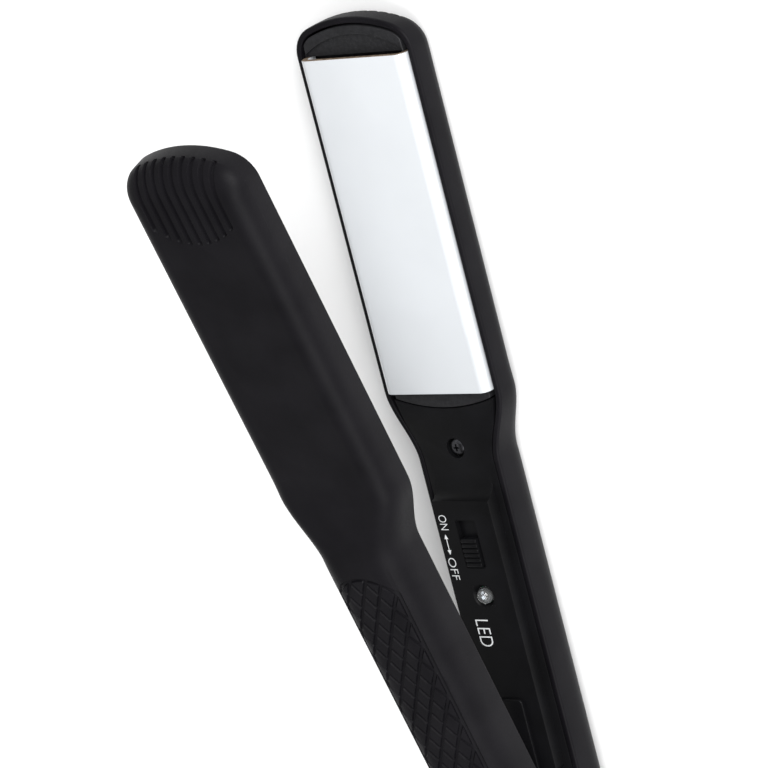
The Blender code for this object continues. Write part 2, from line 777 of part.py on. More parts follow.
def hinge_pin(frame):
    reach = EAR_OUTSIDE - 1.2 * MM - GAP
    part = rod("hinge_pin", PIN_RADIUS, (0, -reach, 0), (0, reach, 0), sides=24)
    return finish_part(part, SPRING_STEEL, frame)


def hinge_cap(name, side, frame):
    """Round cap that hides an end of the hinge pin."""
    seat = EAR_OUTSIDE - 1.2 * MM + 0.05 * MM
    part = rod(name, 4.1 * MM, (0, side * seat, 0), (0, side * (EAR_OUTSIDE + 0.4 * MM), 0))
    return finish_part(bevel(part, 0.3 * MM, 1), BLACK_KNOB, frame)


def opening_spring(frame):
    """Torsion spring on the pin; its legs press the two covers apart."""
    half = SPRING_HALF
    steps = 12
    turns = SPRING_TURNS + OPEN_ANGLE / (2 * math.pi)
    count = round(turns * steps)
    leg_z = -RIM + SPRING_WIRE + 0.25 * MM
    points = [(17 * MM, -half, leg_z), (6 * MM, -half, leg_z - 0.1 * MM)]
    start = math.radians(-60)
    for i in range(count + 1):
        share = i / count
        angle = start - 2 * math.pi * (turns - 1 / 3) * share
        x = SPRING_RADIUS * math.cos(angle)
        z = SPRING_RADIUS * math.sin(angle)
        points.append((x, half * (2 * share - 1), z))
    lift = math.sin(OPEN_ANGLE)
    run = math.cos(OPEN_ANGLE)
    for reach in (6 * MM, 17 * MM):
        points.append((reach * run + leg_z * lift, half, reach * lift - leg_z * run))
    part = wire("opening_spring", points, SPRING_WIRE)
    return finish_part(part, SPRING_STEEL, frame)


# --- cord outlet --------------------------------------------------------------
def cord_swivel(frame):
    """Turning gland in the tail, modelled about Z and laid along the arm."""
    top = -8.0 * MM
    flange_rear = FLANGE_SEAT_X + GAP
    flange_front = flange_rear + FLANGE_THICK
    profile = [
        (CORD_HOLE, top),
        (4.2 * MM, top),
        (4.2 * MM, flange_front),
        (FLANGE_RADIUS, flange_front),
        (FLANGE_RADIUS, flange_rear),
        (OUTLET_HOLE - GAP, flange_rear),
        (OUTLET_HOLE - GAP, -16.4 * MM),
        (6.6 * MM, -16.4 * MM),
        (6.6 * MM, -19.0 * MM),
        (6.0 * MM, -21.6 * MM),
        (5.0 * MM, -22.6 * MM),
        (CORD_HOLE, -22.6 * MM),
    ]
    axis = new_empty("cord_swivel_axis", frame, (0, 0, OUTLET_Z), (0, math.pi / 2, 0))
    part = turned("cord_swivel", profile)
    return finish_part(part, BLACK_KNOB, axis)


def swivel_retainer(frame):
    """Plate fixed in the tail that keeps the gland's flange against the wall."""
    rear = FLANGE_SEAT_X + FLANGE_THICK + 2 * GAP
    part = box("swivel_retainer", (rear, rear + 1.8 * MM), (-5.6 * MM, 5.6 * MM), (-13.6 * MM, -3.4 * MM))
    part.parent = frame
    hole = rod("retainer_hole", 4.5 * MM, (-13 * MM, 0, OUTLET_Z), (-8 * MM, 0, OUTLET_Z))
    return finish_part(cut(part, hole), DARK_NYLON, frame)


# --- assembly -----------------------------------------------------------------
def build_arm(arm, frame):
    plate_frame(arm, frame)
    heating_plate(arm, frame)
    heater(arm, frame)
    cushions(arm, frame)
    heater_leads(arm, frame)
    cover_screw(f"{arm}_neck_screw", NECK_SCREW_X, frame)
    cover_screw(f"{arm}_rear_screw", REAR_SCREW_X, frame)


def rest_tilt():
    """The iron leans forward until its nose touches down as well as the bulge of the handle."""
    nose_x = TIP_X - TIP_ROUND
    leans = []
    for step in range(200):
        x = nose_x * step / 200
        leans.append((depth(x) - depth(nose_x)) / (nose_x - x))
    return math.atan(max(leans))


def stand_on_origin(root):
    """Leans the whole iron on its nose, with its box centred on the origin."""
    root.rotation_euler = (0, rest_tilt(), 0)
    bpy.context.view_layer.update()
    look = bpy.context.evaluated_depsgraph_get()
    corners = []
    for part in PARTS.objects:
        if part.type != "MESH":
            continue
        seen = part.evaluated_get(look)
        mesh = seen.to_mesh()
        corners += [seen.matrix_world @ corner.co for corner in mesh.vertices]
        seen.to_mesh_clear()
    low = [min(corner[i] for corner in corners) for i in range(3)]
    high = [max(corner[i] for corner in corners) for i in range(3)]
    root.location = (-(low[0] + high[0]) / 2, -(low[1] + high[1]) / 2, -low[2])
    bpy.context.view_layer.update()


clear_scene()
PARTS = new_collection("flat_iron")
CUTTERS = new_collection("cutters")

BLACK_SHELL = new_material("black_shell", (0.014, 0.013, 0.016), 0.5)
BLACK_COVER = new_material("black_cover", (0.011, 0.011, 0.013), 0.4)
BLACK_KNOB = new_material("black_knob", (0.01, 0.01, 0.011), 0.35)
HEAT_PLASTIC = new_material("heat_plastic", (0.012, 0.012, 0.013), 0.45)
CERAMIC = new_material("white_ceramic", (0.86, 0.88, 0.9), 0.15)
CERAMIC_CORE = new_material("element_ceramic", (0.75, 0.7, 0.6), 0.6)
ALUMINIUM = new_material("aluminium", (0.8, 0.8, 0.8), 0.35, 1.0)
SPRING_STEEL = new_material("spring_steel", (0.6, 0.6, 0.6), 0.3, 1.0)
SCREW_BLACK = new_material("black_screw", (0.04, 0.04, 0.04), 0.35, 1.0)
SILICONE = new_material("silicone", (0.5, 0.1, 0.06), 0.7)
DARK_NYLON = new_material("dark_nylon", (0.03, 0.03, 0.03), 0.5)
CLEAR_LENS = new_material("clear_lens", (0.8, 0.82, 0.82), 0.08)
BOARD_GREEN = new_material("board_green", (0.02, 0.16, 0.06), 0.45)
BRASS = new_material("brass", (0.6, 0.45, 0.2), 0.35, 1.0)
LEAD_SLEEVE = new_material("lead_sleeve", (0.75, 0.72, 0.66), 0.6)

ROOT = new_empty("flat_iron_root")
LOWER = new_empty("lower_arm_axis", ROOT)
UPPER = new_empty("upper_arm_axis", ROOT, rotation=(math.pi, -OPEN_ANGLE, 0))

lower_shell(LOWER)
lower_cover(LOWER)
build_arm("lower", LOWER)
switch_knob(LOWER)
switch_body(LOWER)
signal_lamp(LOWER)
circuit_board(LOWER)
thermal_fuse(LOWER)
hinge_pin(LOWER)
hinge_cap("hinge_cap_left", 1, LOWER)
hinge_cap("hinge_cap_right", -1, LOWER)
opening_spring(LOWER)
cord_swivel(LOWER)
swivel_retainer(LOWER)

upper_shell(UPPER)
upper_cover(UPPER)
build_arm("upper", UPPER)

stand_on_origin(ROOT)
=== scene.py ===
"""Looks of a hair-straightening iron: each piece is drawn in the arm frame, then set on its arm.

Arm frame: X runs from the hinge to the tip, Y across the arm, and Z=0 is where the two
closed plates meet. The arm's outer face is at negative Z. The upper arm is the same arm
turned over and opened about the hinge.
"""

import json
import math

import bmesh
import bpy
from mathutils import Euler, Matrix, Vector


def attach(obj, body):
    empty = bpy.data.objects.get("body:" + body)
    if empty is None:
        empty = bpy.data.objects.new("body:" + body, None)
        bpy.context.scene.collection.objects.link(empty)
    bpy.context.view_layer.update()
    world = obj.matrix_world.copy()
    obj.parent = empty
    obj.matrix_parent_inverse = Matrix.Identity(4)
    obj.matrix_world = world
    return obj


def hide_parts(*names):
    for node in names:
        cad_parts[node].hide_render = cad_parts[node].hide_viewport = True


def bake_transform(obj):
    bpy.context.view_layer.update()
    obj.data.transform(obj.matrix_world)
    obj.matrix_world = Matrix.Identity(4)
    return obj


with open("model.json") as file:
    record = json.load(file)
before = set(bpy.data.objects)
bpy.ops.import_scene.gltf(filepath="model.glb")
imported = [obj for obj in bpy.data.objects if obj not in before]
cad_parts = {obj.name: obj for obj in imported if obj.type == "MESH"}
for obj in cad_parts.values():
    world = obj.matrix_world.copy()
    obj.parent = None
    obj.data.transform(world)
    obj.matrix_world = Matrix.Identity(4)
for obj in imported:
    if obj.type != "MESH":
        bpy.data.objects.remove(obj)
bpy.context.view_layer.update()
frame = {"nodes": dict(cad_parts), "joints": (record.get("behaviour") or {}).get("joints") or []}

MM = 0.001
JOINTS = {joint["name"]: joint for joint in frame["joints"]}


# --- where the arms are -------------------------------------------------------
def axes_at(spot, x_axis, y_axis, z_axis):
    """The matrix of a frame with these axes, at a point."""
    turn = Matrix((x_axis, y_axis, z_axis)).transposed().to_4x4()
    return Matrix.Translation(spot) @ turn


HINGE = Vector(JOINTS["jaw_hinge"]["pos_m"])
ACROSS = Vector((0, 1, 0))
ALONG_LOWER = Vector(JOINTS["power_switch"]["axis"]).normalized()
UP_UPPER = -Vector(JOINTS["upper_plate_float"]["axis"]).normalized()
ARMS = {
    "lower": axes_at(HINGE, ALONG_LOWER, ACROSS, ALONG_LOWER.cross(ACROSS)),
    "upper": axes_at(HINGE, (-ACROSS).cross(UP_UPPER), -ACROSS, UP_UPPER),
}


def arm_box(node, arm="lower"):
    """Lowest and highest corner of a CAD node in its arm's frame."""
    back = ARMS[arm].inverted()
    corners = [back @ corner.co for corner in frame["nodes"][node].data.vertices]
    low = Vector([min(corner[i] for corner in corners) for i in range(3)])
    high = Vector([max(corner[i] for corner in corners) for i in range(3)])
    return low, high


SHELL_LOW, SHELL_HIGH = arm_box("lower_outer_shell")
PLATE_LOW, PLATE_HIGH = arm_box("lower_plate")
FRAME_LOW, FRAME_HIGH = arm_box("lower_plate_frame")
COVER_LOW, COVER_HIGH = arm_box("lower_inner_cover")
KNOB_LOW, KNOB_HIGH = arm_box("switch_knob")
LAMP_LOW, LAMP_HIGH = arm_box("signal_lamp")

# --- the arm's outline and section --------------------------------------------
HEAD_HALF = SHELL_HIGH.y
TIP_X = SHELL_HIGH.x
TAIL_X = SHELL_LOW.x
HANDLE_DEPTH = -SHELL_LOW.z
RIM = -FRAME_HIGH.z
HANDLE_HALF_FRONT = 15.0 * MM
HANDLE_HALF_REAR = 15.2 * MM
NECK_REAR_X = 132.0 * MM
NECK_FRONT_X = 153.8 * MM
BULGE_REAR_X = 128.0 * MM
BULGE_FRONT_X = 160.0 * MM
HEAD_DEPTH = 14.5 * MM
HEAD_EDGE = 6.4 * MM
HANDLE_EDGE = 9.1 * MM
WALL = 1.9 * MM
GAP = 0.3 * MM
TIP_CORNER = 9.0 * MM
TIP_ARC = 45.0 * MM
TIP_ROUND = 9.0 * MM
TAIL_CORNER = 12.0 * MM
TAIL_ARC = 22.0 * MM
RIM_INSIDE_ROUND = 0.35 * MM
RIM_OUTSIDE_ROUND = 0.8 * MM
END_STEPS = 8
SEAM = 0.02 * MM

# places along the straight sides: the first, the step and how many
HANDLE_STATIONS = (9 * MM, 4.5 * MM, 26)
NECK_STATIONS = (BULGE_REAR_X, 1.2 * MM, 28)
HEAD_STATIONS = (165 * MM, 6.5 * MM, 14)

# hinge and outlet
OPEN_ANGLE = ARMS["lower"].to_quaternion().rotation_difference(ARMS["upper"].to_quaternion()).angle
PAST_SIDES = 20 * MM
PIN_RADIUS = 1.6 * MM
EAR_RADIUS = 7.5 * MM
EAR_Y = (11.4 * MM, 14.6 * MM)
EAR_FOOT_Z = -9 * MM
KNUCKLE_RADIUS = 6.5 * MM
KNUCKLE_Y = (8.0 * MM, 11.0 * MM)
KNUCKLE_FOOT_Z = -16.8 * MM
CAP_RADIUS = 4.1 * MM
CAP_SEAT = 4.4 * MM
CAP_SEAT_DEPTH = 1.2 * MM
NOTCH_GAP = (0.4 * MM, 0.2 * MM)
LUG_SOFT = 0.35 * MM
SPRING_WIRE = 0.6 * MM
SPRING_RADIUS = 3.2 * MM
SPRING_TURNS = 5
SPRING_HALF = 5.4 * MM
SPRING_LEGS = (6 * MM, 11 * MM, 17 * MM)
GLAND_COLLAR = 6.6 * MM
GLAND_X = (-22.6 * MM, -8 * MM)
GLAND_SEAT_X = -13.2 * MM
CORD_HOLE = 3.4 * MM
OUTLET_X = (-22 * MM, -8 * MM)
OUTLET_Z = arm_box("cord_swivel")[0].z + GLAND_COLLAR
OUTLET_HOLE = 4.9 * MM

# moulded grips
GRIP_REAR_X = 14.0 * MM
GRIP_FRONT_X = 127.6 * MM
GRIP_HALF = 10.7 * MM
GRIP_ARC = 12.8 * MM
GRIP_GROOVE = 0.65 * MM
GRIP_GROOVE_DEPTH = 0.65 * MM
GRIP_BAND = 4 * MM
GRIP_MARGIN = 2 * MM
GROOVE_STEEPNESS = 2.2
DIAMOND_LENGTH = 9.55 * MM
DIAMOND_SLOPE = 0.6
DIAMOND_STARTS = {1: GRIP_FRONT_X + 1.9 * MM, -1: GRIP_FRONT_X + 5.6 * MM}
RIB_PITCH = 3.45 * MM
RIB_COUNT = 9
RIB_GROOVE = 0.9 * MM
RIB_GROOVE_DEPTH = 0.9 * MM
RIB_END_Z = -8.55 * MM
RIB_END_FADE = 0.15 * MM
RIB_END_BOW = 0.5 * MM
RIB_REAR_X = 242.5 * MM
RIB_REAR_ARC = 23.0 * MM
RIB_REAR_FADE = (0.3 * MM, 0.7 * MM)
RIB_TIP_LEAN = 0.64
RIB_MARGIN = 3 * MM

# heating head
CRESCENT_REAR_X = 148.8 * MM
CRESCENT_REAR_ARC = 56.0 * MM
CRESCENT_FRONT_X = 263.1 * MM
CRESCENT_FRONT_ARC = 33.3 * MM
CRESCENT_HALF = 17.7 * MM
CRESCENT_SINK = 0.8 * MM
WELL_HALF = 25 * MM
TRAY_FLOOR = 1.2 * MM
LEAD_WAY_HALF = 8 * MM
LEAD_WAY_TOP_Z = -5.2 * MM
PLATE_FOLD = 3.0 * MM
PLATE_THICK = 1.8 * MM

# inner covers and their screws
COVER_THICK = 2.0 * MM
PANEL_HALF = 10.4 * MM
PANEL_TOP = 1.35 * MM
PANEL_REAR_X = 34.0 * MM
PANEL_FRONT_X = 121.0 * MM
PANEL_RAMP_X = 126.3 * MM
PANEL_CORNER = 2.0 * MM
RAMP_HALF = 15 * MM
PANEL_ROOF = 1.5 * MM
STEP_FRONT_X = 58.0 * MM
STEP_HALF = 4.5 * MM
STEP_CORNER = 1.5 * MM
EDGE_SOFT = 0.3 * MM
PANEL_SOFT = 0.55 * MM
STEP_SOFT = 0.4 * MM
SCREW_PLACES = [
    sum(corner.x for corner in arm_box(f"lower_{place}_screw")) / 2 for place in ("neck", "rear")
]
SCREW_TOP = arm_box("lower_neck_screw")[1].z
SCREW_HEAD = 2.5 * MM
SCREW_DOME = 0.55 * MM
SCREW_SHANK = 1 * MM
SCREW_HOLE = 1.4 * MM
SCREW_HOLE_Z = (-9 * MM, -4 * MM)
SCREW_END_Z = (-10.3 * MM, -11.3 * MM)
RECESS_SIZE = (3.2 * MM, 0.8 * MM, 2 * MM)
RECESS_TAPER = (0.45, 0.55, 1)
BOSS_RADIUS = 4.2 * MM
BOSS_FOOT = -8.0 * MM
SEAT_RADIUS = 3.1 * MM
SEAT_FLOOR = -5.0 * MM

# switch, lamp and legends
SLOT_REAR_X = 100.0 * MM
SLOT_FRONT_X = 114.8 * MM
SLOT_HALF = 3.4 * MM
SLOT_LIP = 0.25 * MM
SLOT_CORNER = 0.6 * MM
SLOT_LIP_CORNER = 0.8 * MM
OPENING_Z = (-2 * MM, 3 * MM)
KNOB_LENGTH = 9.1 * MM
KNOB_X = SLOT_REAR_X + 0.2 * MM + KNOB_LENGTH / 2
KNOB_HALF = 2.8 * MM
KNOB_RIBS = 6
KNOB_RIB_SINK = 0.75 * MM
LAMP_X = (LAMP_LOW.x + LAMP_HIGH.x) / 2
LAMP_RADIUS = 2.5 * MM
LAMP_RING = 3.5 * MM
LAMP_FOOT = -3.0 * MM
LAMP_WIRE_Y = 1.27 * MM
CATCH_OFFSET = 3.1 * MM
CATCH_RADIUS = 0.4 * MM
CATCH_Z = (-0.6 * MM, 0.2 * MM)
POCKET_DEPTH = 1.2 * MM
POCKET_RADIUS = 4.5 * MM
INK_BACK = 0.004 * MM
INK_FRONT = 0.03 * MM
LEGENDS = (
    ("legend_on", "ON", (116.6 * MM, 111.9 * MM), (9.5 * MM, 6.7 * MM)),
    ("legend_off", "OFF", (103.0 * MM, 96.0 * MM), (10.0 * MM, 7.2 * MM)),
    ("legend_lamp", "LED", (83.3 * MM, 74.7 * MM), (5.6 * MM, 0.9 * MM)),
)
ARROW_X = (110.5 * MM, 104.0 * MM)
ARROW_Y = 8.5 * MM

# studio, with the camera's place and turn in the lower arm's frame
CAMERA_SPOT = (555.53 * MM, -898.58 * MM, 1037.34 * MM)
CAMERA_TURN = (-27.046, 36.038, -107.481)
CAMERA_LENS = 231.1
AIM = (0.03, 0, 0)
FLOOR_Z = -0.0002
WORLD_STRENGTH = 0.52


# --- working with Blender's tools ---------------------------------------------
def select_only(piece):
    bpy.ops.object.select_all(action="DESELECT")
    piece.select_set(True)
    bpy.context.view_layer.objects.active = piece


def newest(name):
    """Names the object that an add operator has just made, and frees its mesh of placing."""
    piece = bpy.context.object
    piece.name = name
    piece.data.name = name
    select_only(piece)
    bpy.ops.object.transform_apply(location=True, rotation=True, scale=True)
    return piece


def edit(piece, kind="FACE", action="DESELECT"):
    """Opens a piece in edit mode with nothing selected, or with everything."""
    select_only(piece)
    bpy.ops.object.mode_set(mode="EDIT")
    bpy.ops.mesh.select_mode(type=kind)
    bpy.ops.mesh.select_all(action=action)


def done():
    bpy.ops.object.mode_set(mode="OBJECT")


def pick_faces(piece, wanted):
    """Selects the faces for which wanted(face) is true, in edit mode."""
    work = bmesh.from_edit_mesh(piece.data)
    for face in work.faces:
        face.select_set(bool(wanted(face)))
    bmesh.update_edit_mesh(piece.data)


def pick_edges(piece, wanted):
    work = bmesh.from_edit_mesh(piece.data)
    for edge in work.edges:
        edge.select_set(bool(wanted(edge)))
    bmesh.update_edit_mesh(piece.data)


def middle_of(edge):
    return (edge.verts[0].co + edge.verts[1].co) / 2


def face_out(piece):
    """Merges doubles and turns every face outwards."""
    edit(piece, "VERT", "SELECT")
    bpy.ops.mesh.remove_doubles(threshold=1e-6)
    bpy.ops.mesh.normals_make_consistent(inside=False)
    done()
    return piece


def apply_modifier(piece, kind, **settings):
    select_only(piece)
    modifier = piece.modifiers.new(kind.lower(), kind)
    for name, value in settings.items():
        setattr(modifier, name, value)
    bpy.ops.object.modifier_apply(modifier=modifier.name)
    return piece


def cut(piece, *cutters, operation="DIFFERENCE"):
    """Cuts pieces away, or joins them on, and removes them."""
    for cutter in cutters:
        apply_modifier(piece, "BOOLEAN", operation=operation, solver="EXACT", object=cutter)
        bpy.data.objects.remove(cutter, do_unlink=True)
    return piece


def soften(piece, width, segments=3, angle=32):
    """Breaks the sharp edges with a small round."""
    return apply_modifier(
        piece,
        "BEVEL",
        width=width,
        segments=segments,
        limit_method="ANGLE",
        angle_limit=math.radians(angle),
        use_clamp_overlap=True,
    )


def block(name, x, y, z):
    """A block between two values on each axis."""
    middle = [(pair[0] + pair[1]) / 2 for pair in (x, y, z)]
    size = [pair[1] - pair[0] for pair in (x, y, z)]
    bpy.ops.mesh.primitive_cube_add(size=1, location=middle, scale=size)
    return newest(name)


def rod(name, radius, start, end, sides=64, end_radius=None):
    """A round bar or cone between two points."""
    start, end = Vector(start), Vector(end)
    turn = (end - start).to_track_quat("Z", "Y").to_euler()
    bpy.ops.mesh.primitive_cone_add(
        vertices=sides,
        radius1=radius,
        radius2=radius if end_radius is None else end_radius,
        depth=(end - start).length,
        location=(start + end) / 2,
        rotation=turn,
    )
    return newest(name)


def slab(name, outline, low, high):
    """A ring of points drawn to an outline in X and Y, filled and pulled up."""
    bpy.ops.mesh.primitive_circle_add(vertices=len(outline), radius=MM, fill_type="NOTHING")
    piece = newest(name)
    for corner, (x, y) in zip(piece.data.vertices, outline):
        corner.co = (x, y, low)
    edit(piece, "EDGE", "SELECT")
    bpy.ops.mesh.edge_face_add()
    bpy.ops.mesh.extrude_region_move(TRANSFORM_OT_translate={"value": (0, 0, high - low)})
    done()
    return face_out(piece)


def turned(name, profile, steps=64):
    """A closed profile of (radius, height) points spun about Z."""
    bpy.ops.mesh.primitive_circle_add(vertices=len(profile), radius=MM, fill_type="NOTHING")
    piece = newest(name)
    for corner, (radius, height) in zip(piece.data.vertices, profile):
        corner.co = (radius, 0, height)
    edit(piece, "EDGE", "SELECT")
    bpy.ops.mesh.spin(steps=steps, angle=math.tau, center=(0, 0, 0), axis=(0, 0, 1))
    done()
    return face_out(piece)


def moved(piece, place):
    piece.data.transform(place)
    return piece


def copy_of(piece, name):
    twin = piece.copy()
    twin.data = piece.data.copy()
    twin.name = name
    twin.data.name = name
    bpy.context.scene.collection.objects.link(twin)
    return twin


def settle(piece, body, material, nodes=(), arm=None, smooth=32):
    """Sets a finished piece on its arm and says what it rides on and stands for."""
    if arm:
        moved(piece, ARMS[arm])
    piece.data.materials.clear()
    piece.data.materials.append(material)
    select_only(piece)
    bpy.ops.object.shade_smooth_by_angle(angle=math.radians(smooth))
    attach(piece, body)
    if nodes:
        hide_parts(*nodes)
    return piece


# --- outline and section ------------------------------------------------------
def blend(x, start, end):
    share = min(max((x - start) / (end - start), 0.0), 1.0)
    return share * share * (3 - 2 * share)


def half_width(x):
    along = min(max(x / NECK_REAR_X, 0.0), 1.0)
    handle = HANDLE_HALF_REAR + (HANDLE_HALF_FRONT - HANDLE_HALF_REAR) * along
    return handle + (HEAD_HALF - handle) * blend(x, NECK_REAR_X, NECK_FRONT_X)


def depth(x):
    return HANDLE_DEPTH + (HEAD_DEPTH - HANDLE_DEPTH) * blend(x, BULGE_REAR_X, BULGE_FRONT_X)


def edge_radius(x):
    return HANDLE_EDGE + (HEAD_EDGE - HANDLE_EDGE) * blend(x, BULGE_REAR_X, BULGE_FRONT_X)


def blunt_end(end, half, corner, arc, side, steps=END_STEPS):
    """Half of a blunt end, from the straight side round to the centre line."""
    middle = end - side * arc
    reach = math.sqrt((arc - corner) ** 2 - (half - corner) ** 2)
    turn = math.atan2(half - corner, reach)
    points = []
    for i in range(steps):
        angle = math.pi / 2 + (turn - math.pi / 2) * i / steps
        x = middle + side * (reach + corner * math.cos(angle))
        points.append((x, half - corner + corner * math.sin(angle)))
    for i in range(steps + 1):
        angle = turn * (1 - i / steps)
        points.append((middle + side * arc * math.cos(angle), arc * math.sin(angle)))
    return points


def tip_outline(inset, tip_inset):
    corner = TIP_CORNER - inset
    return blunt_end(TIP_X - tip_inset, HEAD_HALF - inset, corner, TIP_ARC - inset, 1)


def tail_outline(inset):
    half = HANDLE_HALF_REAR - inset
    return blunt_end(TAIL_X + inset, half, TAIL_CORNER - inset, TAIL_ARC - inset, -1)[::-1]


def side_stations():
    """Places along the straight sides: close together round the neck."""
    handle, neck, head = (
        [first + step * i for i in range(count)]
        for first, step, count in (HANDLE_STATIONS, NECK_STATIONS, HEAD_STATIONS)
    )
    return [x for x in handle if x < BULGE_REAR_X - 2 * MM] + neck + head


def arc_across(apex_x, radius, half, side, steps=24):
    """An arc across the arm whose middle is at apex_x, from +half to -half."""
    points = []
    for i in range(steps + 1):
        y = half * (1 - 2 * i / steps)
        points.append((apex_x - side * (radius - math.sqrt(radius**2 - y**2)), y))
    return points


def rounded_rectangle(x, half, corner, steps=6):
    points = []
    centres = ((x[1], 1, 0), (x[0], 1, 90), (x[0], -1, 180), (x[1], -1, 270))
    for end, side, start in centres:
        cx = end - corner if end == x[1] else end + corner
        cy = side * (half - corner)
        for i in range(steps + 1):
            angle = math.radians(start + 90 * i / steps)
            points.append((cx + corner * math.cos(angle), cy + corner * math.sin(angle)))
    return points


# --- outer shells -------------------------------------------------------------
def wall_rings():
    """The section of the wall, from the inner floor's edge over the rim to the outer face.

    Each ring is (how far in at the sides, how far in at the tip, height), as functions of x.
    """
    rings = []
    for i in range(4):
        angle = math.pi / 2 * (1 - i / 3)
        rings.append(rounding_ring(angle, WALL))
    for i in range(4):
        angle = math.pi / 2 * i / 3
        inset = WALL - RIM_INSIDE_ROUND * (1 - math.cos(angle))
        rings.append(rim_ring(inset, RIM_INSIDE_ROUND * (1 - math.sin(angle))))
    for i in range(6):
        angle = math.pi / 2 * (1 - i / 5)
        inset = RIM_OUTSIDE_ROUND * (1 - math.cos(angle))
        rings.append(rim_ring(inset, RIM_OUTSIDE_ROUND * (1 - math.sin(angle))))
    for i in range(11):
        rings.append(rounding_ring(math.pi / 2 * i / 10, 0.0))
    return rings


def rounding_ring(angle, wall):
    turn_in = 1 - math.cos(angle)

    def sides(x):
        return wall + (edge_radius(x) - wall) * turn_in

    def height(x):
        return edge_radius(x) - depth(x) - (edge_radius(x) - wall) * math.sin(angle)

    return sides, wall + (TIP_ROUND - wall) * turn_in, height


def rim_ring(inset, drop):
    return (lambda x: inset), inset, (lambda x: -RIM - drop)


def ring_points(ring):
    """Half a ring, from the tail's middle to the tip's middle."""
    sides, tip_inset, height = ring
    outline = tail_outline(sides(0))
    outline += [(x, half_width(x) - sides(x)) for x in side_stations()]
    outline += tip_outline(sides(TIP_X), tip_inset)
    return [Vector((x, y, height(x))) for x, y in outline]


def drawn_grid(name, columns):
    """A grid whose points are drawn onto columns of places."""
    across, along = len(columns), len(columns[0])
    bpy.ops.mesh.primitive_grid_add(x_subdivisions=across - 1, y_subdivisions=along - 1, size=2)
    grid = newest(name)
    for corner in grid.data.vertices:
        i = round((corner.co.x + 1) / 2 * (across - 1))
        j = round((corner.co.y + 1) / 2 * (along - 1))
        corner.co = columns[i][j]
    return grid


def floor_columns(ring, wall):
    """The flat face inside the last ring, as lines across from its edge to the middle."""
    ends = 2 * END_STEPS + 1
    tail, sides, tip = ring[:ends], ring[ends:-ends], ring[-ends:]
    shares = [point.y / tip[0].y for point in tip]

    def on_face(x, y):
        return Vector((x, y, wall - depth(x)))

    columns = [[on_face(p.x, p.y) for p in tail[::-1]]]
    columns += [[on_face(edge.x, edge.y * share) for share in shares] for edge in sides]
    columns.append([on_face(p.x, p.y) for p in tip])
    return columns


def bare_shell(name):
    """A smooth trough with a rounded rim, before any hole or grip."""
    rings = [ring_points(ring) for ring in wall_rings()]
    wall = drawn_grid(name, [list(column) for column in zip(*rings)])
    outer = drawn_grid("outer_face", floor_columns(rings[-1], 0.0))
    inner = drawn_grid("inner_face", floor_columns(rings[0], WALL))
    select_only(wall)
    outer.select_set(True)
    inner.select_set(True)
    bpy.ops.object.join()
    edit(wall, "VERT", "SELECT")
    bpy.ops.mesh.remove_doubles(threshold=SEAM)
    done()
    apply_modifier(
        wall, "MIRROR", use_axis=(False, True, False), use_clip=True, merge_threshold=SEAM
    )
    return face_out(wall)


def hinge_lug(name, side, y, radius, foot):
    """A disc round the pin with its foot on the shell."""
    edge = sorted((side * y[0], side * y[1]))
    disc = soften(rod(name, radius, (0, edge[0], 0), (0, edge[1], 0)), LUG_SOFT, 2)
    reach = radius * 0.6
    return disc, block(f"{name}_foot", (-reach, reach), edge, (foot, 0))


def pin_bore():
    return rod("pin_bore", PIN_RADIUS, (0, -PAST_SIDES, 0), (0, PAST_SIDES, 0), sides=32)


def lower_shell():
    piece = bare_shell("lower_shell_moulding")
    for side, tag in ((1, "left"), (-1, "right")):
        ear = hinge_lug(f"ear_{tag}", side, EAR_Y, EAR_RADIUS, EAR_FOOT_Z)
        cut(piece, *ear, operation="UNION")
        outside = side * EAR_Y[1]
        seat_floor = (0, outside - side * CAP_SEAT_DEPTH, 0)
        cut(piece, rod("cap_seat", CAP_SEAT, seat_floor, (0, outside + side * 3 * MM, 0)))
    cut(piece, pin_bore())
    outlet_start, outlet_end = ((x, 0, OUTLET_Z) for x in OUTLET_X)
    return cut(piece, rod("outlet", OUTLET_HOLE, outlet_start, outlet_end))


def upper_shell():
    piece = bare_shell("upper_shell_moulding")
    for side, tag in ((1, "left"), (-1, "right")):
        start, end = (0, side * (EAR_Y[0] - NOTCH_GAP[1]), 0), (0, side * PAST_SIDES, 0)
        cut(piece, rod("ear_notch", EAR_RADIUS + NOTCH_GAP[0], start, end))
        knuckle = hinge_lug(f"knuckle_{tag}", side, KNUCKLE_Y, KNUCKLE_RADIUS, KNUCKLE_FOOT_Z)
        cut(piece, *knuckle, operation="UNION")
    return cut(piece, pin_bore())


def groove(distance, half, deep):
    """How deep a rounded groove is at a distance from its middle."""
    share = min(max(1 - abs(distance) / half, 0.0) * GROOVE_STEEPNESS, 1.0)
    return deep * share * share * (3 - 2 * share)


def groove_planes(spot, normal, half):
    """Parallel planes through a groove's two edges, its slopes and its bottom."""
    return [(spot + normal * half * k, normal) for k in (-1, -0.8, -0.6, 0, 0.6, 0.8, 1)]


def score(work, wanted, planes):
    """Draws the planes' lines onto the wanted faces."""
    faces = [face for face in work.faces if wanted(face)]
    edges = dict.fromkeys(edge for face in faces for edge in face.edges)
    corners = dict.fromkeys(corner for face in faces for corner in face.verts)
    part = [*faces, *edges, *corners]
    for spot, normal in planes:
        cut_part = bmesh.ops.bisect_plane(
            work, geom=part, dist=2e-6, plane_co=spot, plane_no=normal
        )
        part = cut_part["geom"]


